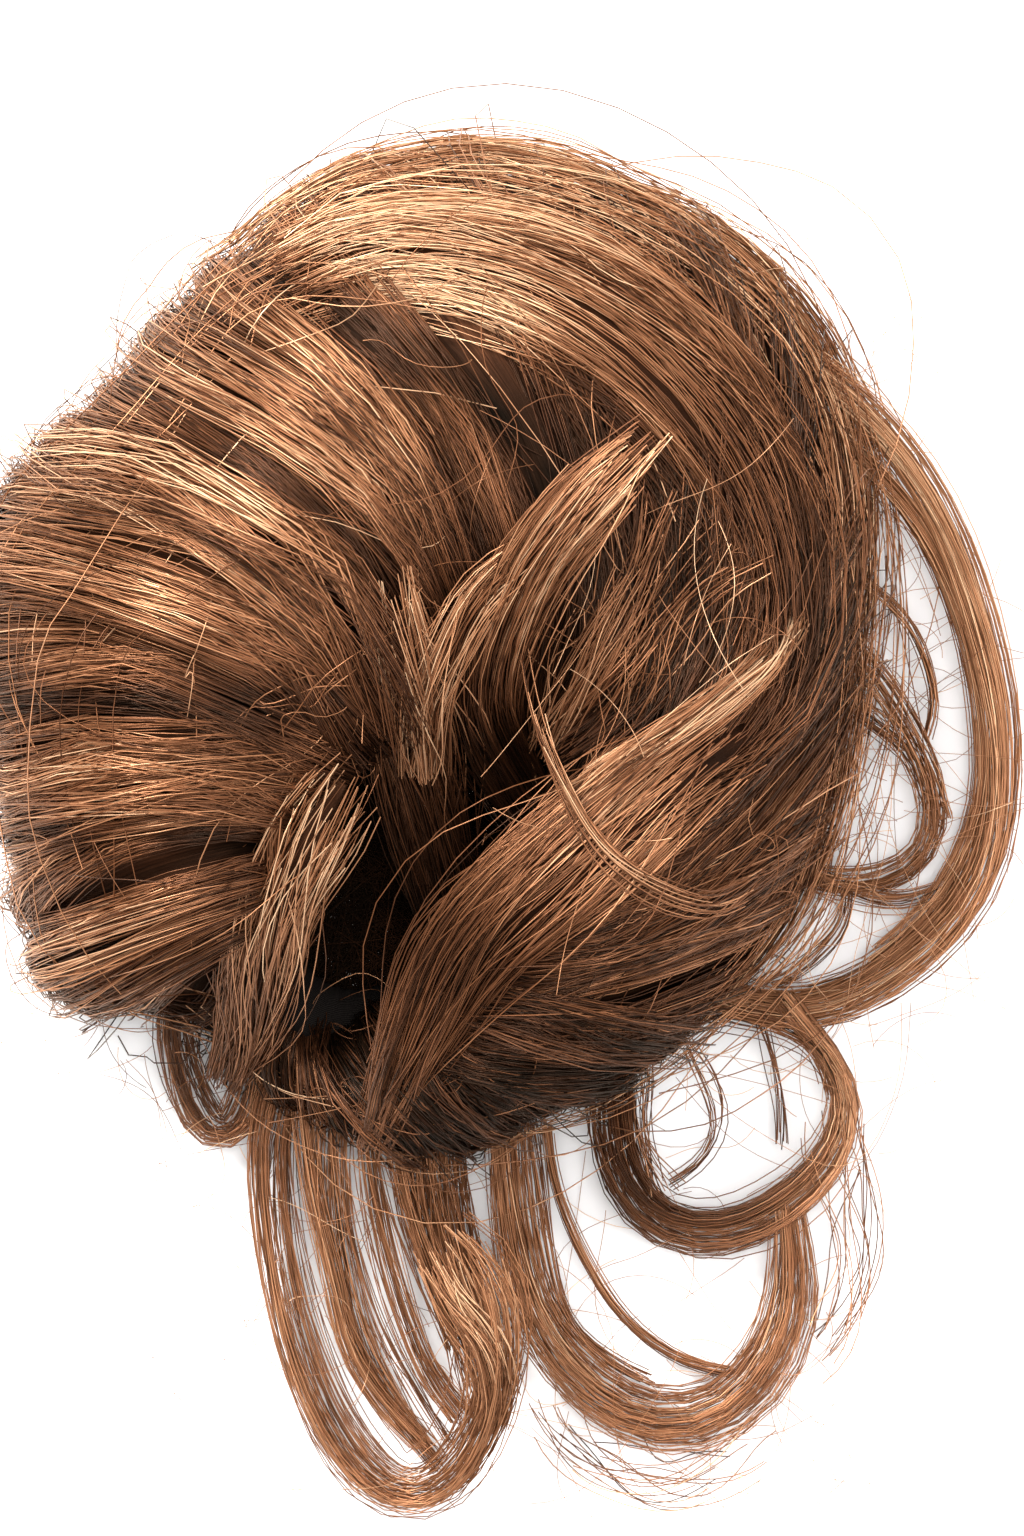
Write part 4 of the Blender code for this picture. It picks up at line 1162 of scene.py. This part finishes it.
def makeElastic():
    form = elasticForm
    radius = form["thickness"] / 2
    inset = radius + form["gap"]
    turn = np.linspace(0, 2 * np.pi, form["around"], endpoint=False)
    tilt = np.radians(ringForm["hollowTurn"])
    lengthways = np.cos(turn) * (ringForm["hollowLong"] - inset)
    beside = np.sin(turn) * (ringForm["hollowShort"] - inset)
    middle = np.stack((lengthways * np.cos(tilt) - beside * np.sin(tilt),
                       lengthways * np.sin(tilt) + beside * np.cos(tilt),
                       np.full(form["around"], form["height"])), axis=1) + hub
    ahead = unit(np.roll(middle, -1, axis=0) - np.roll(middle, 1, axis=0))
    side, up = np.cross(ahead, (0, 0, 1))[:, None, :], np.array((0, 0, 1.0))
    # turned this way round, so that faces look outward
    angle = np.linspace(0, -2 * np.pi, form["section"], endpoint=False)[None, :]
    thick = (radius - form["ribDepth"] * (0.5 + 0.5 * np.cos(turn * form["ribs"])))[:, None]
    points = middle[:, None, :] + side * (np.cos(angle) * thick)[..., None] \
        + up * (np.sin(angle) * thick)[..., None]
    sheetPiece("elastic_weave", points, "ring", 0.0, ("elastic_band",), elasticMaterial())


makeElastic()
print("elastic made")


# Single hairs that stand off the ring
flyaways = {
    "seed": 53,
    "strands": 170,
    "steps": 16,
    "width": 0.00016,
    "run": 5,                # locks that a hair runs over, at most
    "lift": 0.0045,          # how far hairs stand off
    "liftFrom": 0.0025,
    "highest": 0.010,
    "tone": (0.55, 0.15),    # middle and spread
}


def makeFlyaways():
    make = flyaways
    rng = np.random.default_rng(make["seed"])
    count, steps = make["strands"], make["steps"]
    share = np.linspace(0, 1, steps)[None, :]
    place = rng.uniform(0, lockCount, (count, 1)) + rng.uniform(-make["run"], make["run"], (count, 1)) * share
    level = rng.uniform(0.25, 0.85, (count, 1)) + rng.normal(0, 0.12, (count, 1)) * share
    level = np.clip(level + wander(rng, count, steps, (0.5, 1.0), 0.04), 0.15, 0.93)
    lift = rng.gamma(1.5, 0.45, (count, 1)) * make["lift"] * np.sin(np.pi * share) ** 0.8 + make["liftFrom"]
    lift = np.minimum(lift, make["highest"])
    points = smoothed(ringPoint(place, level) + ringNormal(place, level) * lift[..., None], 3)
    tone = np.clip(rng.normal(*make["tone"], (count, 1)), 0, 1)
    strandPiece("flyaways", [(points, tipped(steps, 0.5, 0.3), tone)], "hair", (), make["width"])


# Single hairs that curl about over the table, and long ones that arch over the outline
frizz = {
    "seed": 61,
    "steps": 16,
    "width": 0.00012,
    "outside": 0.010,        # how far a hair may go past the box of the solids
    "tone": (0.7, 0.15),     # middle and spread
    "arch": dict(groups=2, members=1, steps=22, width=0.005, thickness=0.004, tone=0.7, frizz=0.2),
    "regions": (
        # count, lowest and highest east, north and rise, length in metres, turning in radians
        (100, (0.80, -0.10, 0.08), (1.05, 0.55, 0.25), (0.014, 0.040), 2.0),
        (24, (0.15, -1.05, 0.05), (0.85, -0.55, 0.15), (0.014, 0.045), 2.0),
        (40, (-0.35, -1.20, 0.05), (0.15, -0.60, 0.12), (0.010, 0.035), 2.0),
        (40, (0.20, -1.25, 0.04), (0.85, -1.05, 0.08), (0.014, 0.040), 2.0),
        (20, (0.60, -0.45, 0.08), (1.00, -0.15, 0.15), (0.012, 0.034), 2.0),
        (20, (-0.55, -0.75, 0.06), (-0.30, -0.45, 0.15), (0.008, 0.024), 2.0),
        (24, (-0.80, -0.50, 0.06), (-0.50, -0.20, 0.20), (0.008, 0.022), 1.6),
        (30, (0.75, 0.80, 0.20), (0.98, 1.08, 0.40), (0.014, 0.034), 1.2),
        (26, (-0.10, 0.10, 0.95), (0.70, 0.70, 1.02), (0.014, 0.034), 0.8),
    ),
    "arches": (
        # east, north and rise along each hair
        ((-0.62, 0.86, 0.5), (-0.50, 1.10, 0.4), (-0.30, 1.27, 0.3), (-0.02, 1.36, 0.3), (0.20, 1.37, 0.3)),
        ((-0.45, 1.00, 0.5), (-0.25, 1.22, 0.4), (0.05, 1.33, 0.4), (0.35, 1.27, 0.3), (0.60, 1.05, 0.4)),
        ((-0.20, 1.16, 0.5), (0.12, 1.30, 0.4), (0.42, 1.22, 0.3), (0.64, 1.12, 0.3), (0.78, 1.02, 0.3)),
        ((0.10, 1.20, 0.5), (0.40, 1.19, 0.4), (0.72, 1.10, 0.3), (0.95, 0.98, 0.2), (1.03, 0.80, 0.2)),
        ((0.45, 1.10, 0.4), (0.75, 1.24, 0.3), (0.98, 1.16, 0.2), (1.05, 0.96, 0.2), (0.98, 0.78, 0.2)),
        ((0.30, 1.15, 0.5), (0.60, 1.00, 0.4), (0.85, 0.84, 0.3), (1.02, 0.62, 0.2), (1.10, 0.40, 0.2)),
        ((0.50, 0.98, 0.6), (0.78, 0.86, 0.4), (1.00, 0.72, 0.3), (1.12, 0.55, 0.2), (1.20, 0.30, 0.2)),
        ((-0.80, 0.50, 0.5), (-0.88, 0.72, 0.3), (-0.78, 0.92, 0.3), (-0.60, 1.06, 0.3), (-0.45, 1.10, 0.4)),
        ((-0.55, -1.00, 0.1), (-0.62, -0.86, 0.1), (-0.55, -0.72, 0.1), (-0.42, -0.66, 0.1),
         (-0.30, -0.62, 0.1)),
        ((-0.50, -1.22, 0.1), (-0.38, -1.34, 0.1), (-0.18, -1.36, 0.1), (0.02, -1.30, 0.1),
         (0.15, -1.20, 0.1)),
        ((-0.34, -0.55, 0.3), (-0.10, -0.50, 0.5), (0.20, -0.46, 0.5), (0.60, -0.44, 0.4),
         (0.95, -0.56, 0.2)),
        ((0.55, -0.45, 0.3), (0.70, -0.60, 0.3), (0.90, -0.66, 0.3), (1.00, -0.50, 0.2), (1.02, -0.30, 0.2)),
    ),
}


def curledHair(rng, count, low, high, length, turning):
    # single hairs that start in a box of east, north and rise
    steps = frizz["steps"]
    start = rng.uniform(low, high, (count, 3))
    start = start * (ringForm["reach"], ringForm["reach"], ringForm["height"]) + hub
    step = rng.uniform(*length, (count, 1)) / steps
    heading = rng.uniform(0, 2 * np.pi, (count, 1))
    curve = rng.normal(0, turning, (count, 1)) + wander(rng, count, steps, (0.6, 1.4), turning * 0.8)
    heading = heading + np.cumsum(curve, axis=1) / steps
    rise = wander(rng, count, steps, (0.5, 1.0), 0.002)
    path = (np.cumsum(np.cos(heading) * step, axis=1), np.cumsum(np.sin(heading) * step, axis=1), rise)
    points = start[:, None, :] + np.stack(path, axis=-1)
    past = np.abs(points[..., :2]).max(axis=1) - np.array(cadBox[1][:2])
    points = points[np.all(past < frizz["outside"], axis=1)]
    tone = np.clip(rng.normal(*frizz["tone"], (len(points), 1)), 0, 1)
    return points, tipped(steps, 0.4, 0.3), tone


def makeFrizz():
    rng = np.random.default_rng(frizz["seed"])
    groups = [curledHair(rng, *region) for region in frizz["regions"]]
    arches = [smoothRoute([(*row, 1.0) for row in arch]) for arch in frizz["arches"]]
    groups += [bundle(rng, route, frizz["arch"]) for route in arches]
    strandPiece("frizz", groups, "hair_light", (), frizz["width"])


makeFlyaways()
makeFrizz()
print("single hairs made")


view = {
    "pixel": 0.148,          # millimetres of table to a pixel of the picture
    "distance": 0.75,        # of the camera above the table
    "sensor": 36.0,
    "picture": (1024, 1536),
    "hubPixel": (410, 850),  # where the hollow's middle shows
    "hubHeight": 0.020,
}
lights = {
    # place, target, size, watts, colour
    "key": ((-0.60, 0.65, 0.85), (0, 0, 0.02), 0.42, 30, (1.0, 0.97, 0.93)),
    "top": ((0.10, 0.05, 1.2), (0, 0, 0.02), 0.6, 12, (1.0, 0.98, 0.96)),
    "fill": ((0.75, -0.15, 0.55), (0.03, 0, 0.02), 0.5, 4, (1.0, 0.99, 0.98)),
}
stage = {"size": 6, "floor": (0.92, 0.92, 0.93), "roughness": 0.9, "specular": 0.1, "world": 0.70}


def addCamera():
    scale = view["pixel"] / 1000 * (view["distance"] - view["hubHeight"]) / view["distance"]
    east = (view["picture"][0] / 2 - view["hubPixel"][0]) * scale
    north = (view["hubPixel"][1] - view["picture"][1] / 2) * scale
    data = bpy.data.cameras.new("camera")
    data.sensor_fit = "VERTICAL"
    data.sensor_height = view["sensor"]
    data.lens = view["sensor"] * view["distance"] / (view["picture"][1] * view["pixel"] / 1000)
    data.clip_start = 0.01
    camera = bpy.data.objects.new("camera", data)
    camera.location = (hub[0] + east, hub[1] + north, view["distance"])
    bpy.context.scene.collection.objects.link(camera)
    bpy.context.scene.camera = camera


def addLight(name, place, target, size, watts, colour):
    data = bpy.data.lights.new(name, "AREA")
    data.shape = "DISK"
    data.size = size
    data.energy = watts
    data.color = colour
    light = bpy.data.objects.new(name, data)
    light.location = place
    light.rotation_euler = (Vector(target) - Vector(place)).to_track_quat("-Z", "Y").to_euler()
    bpy.context.scene.collection.objects.link(light)


def addStage():
    bpy.ops.mesh.primitive_plane_add(size=stage["size"], location=(0, 0, 0))
    floor = bpy.context.object
    floor.name = "floor"
    material, _ = newMaterial("floor", {
        "Base Color": (*stage["floor"], 1), "Roughness": stage["roughness"],
        "Specular IOR Level": stage["specular"]})
    floor.data.materials.append(material)
    world = bpy.data.worlds.new("studio")
    world.use_nodes = True
    world.node_tree.nodes["Background"].inputs["Color"].default_value = (1, 1, 1, 1)
    world.node_tree.nodes["Background"].inputs["Strength"].default_value = stage["world"]
    bpy.context.scene.world = world
    for name, light in lights.items():
        addLight(name, *light)
    bpy.context.scene.view_settings.view_transform = "Standard"


addCamera()
addStage()
print("stage, lights and camera made")
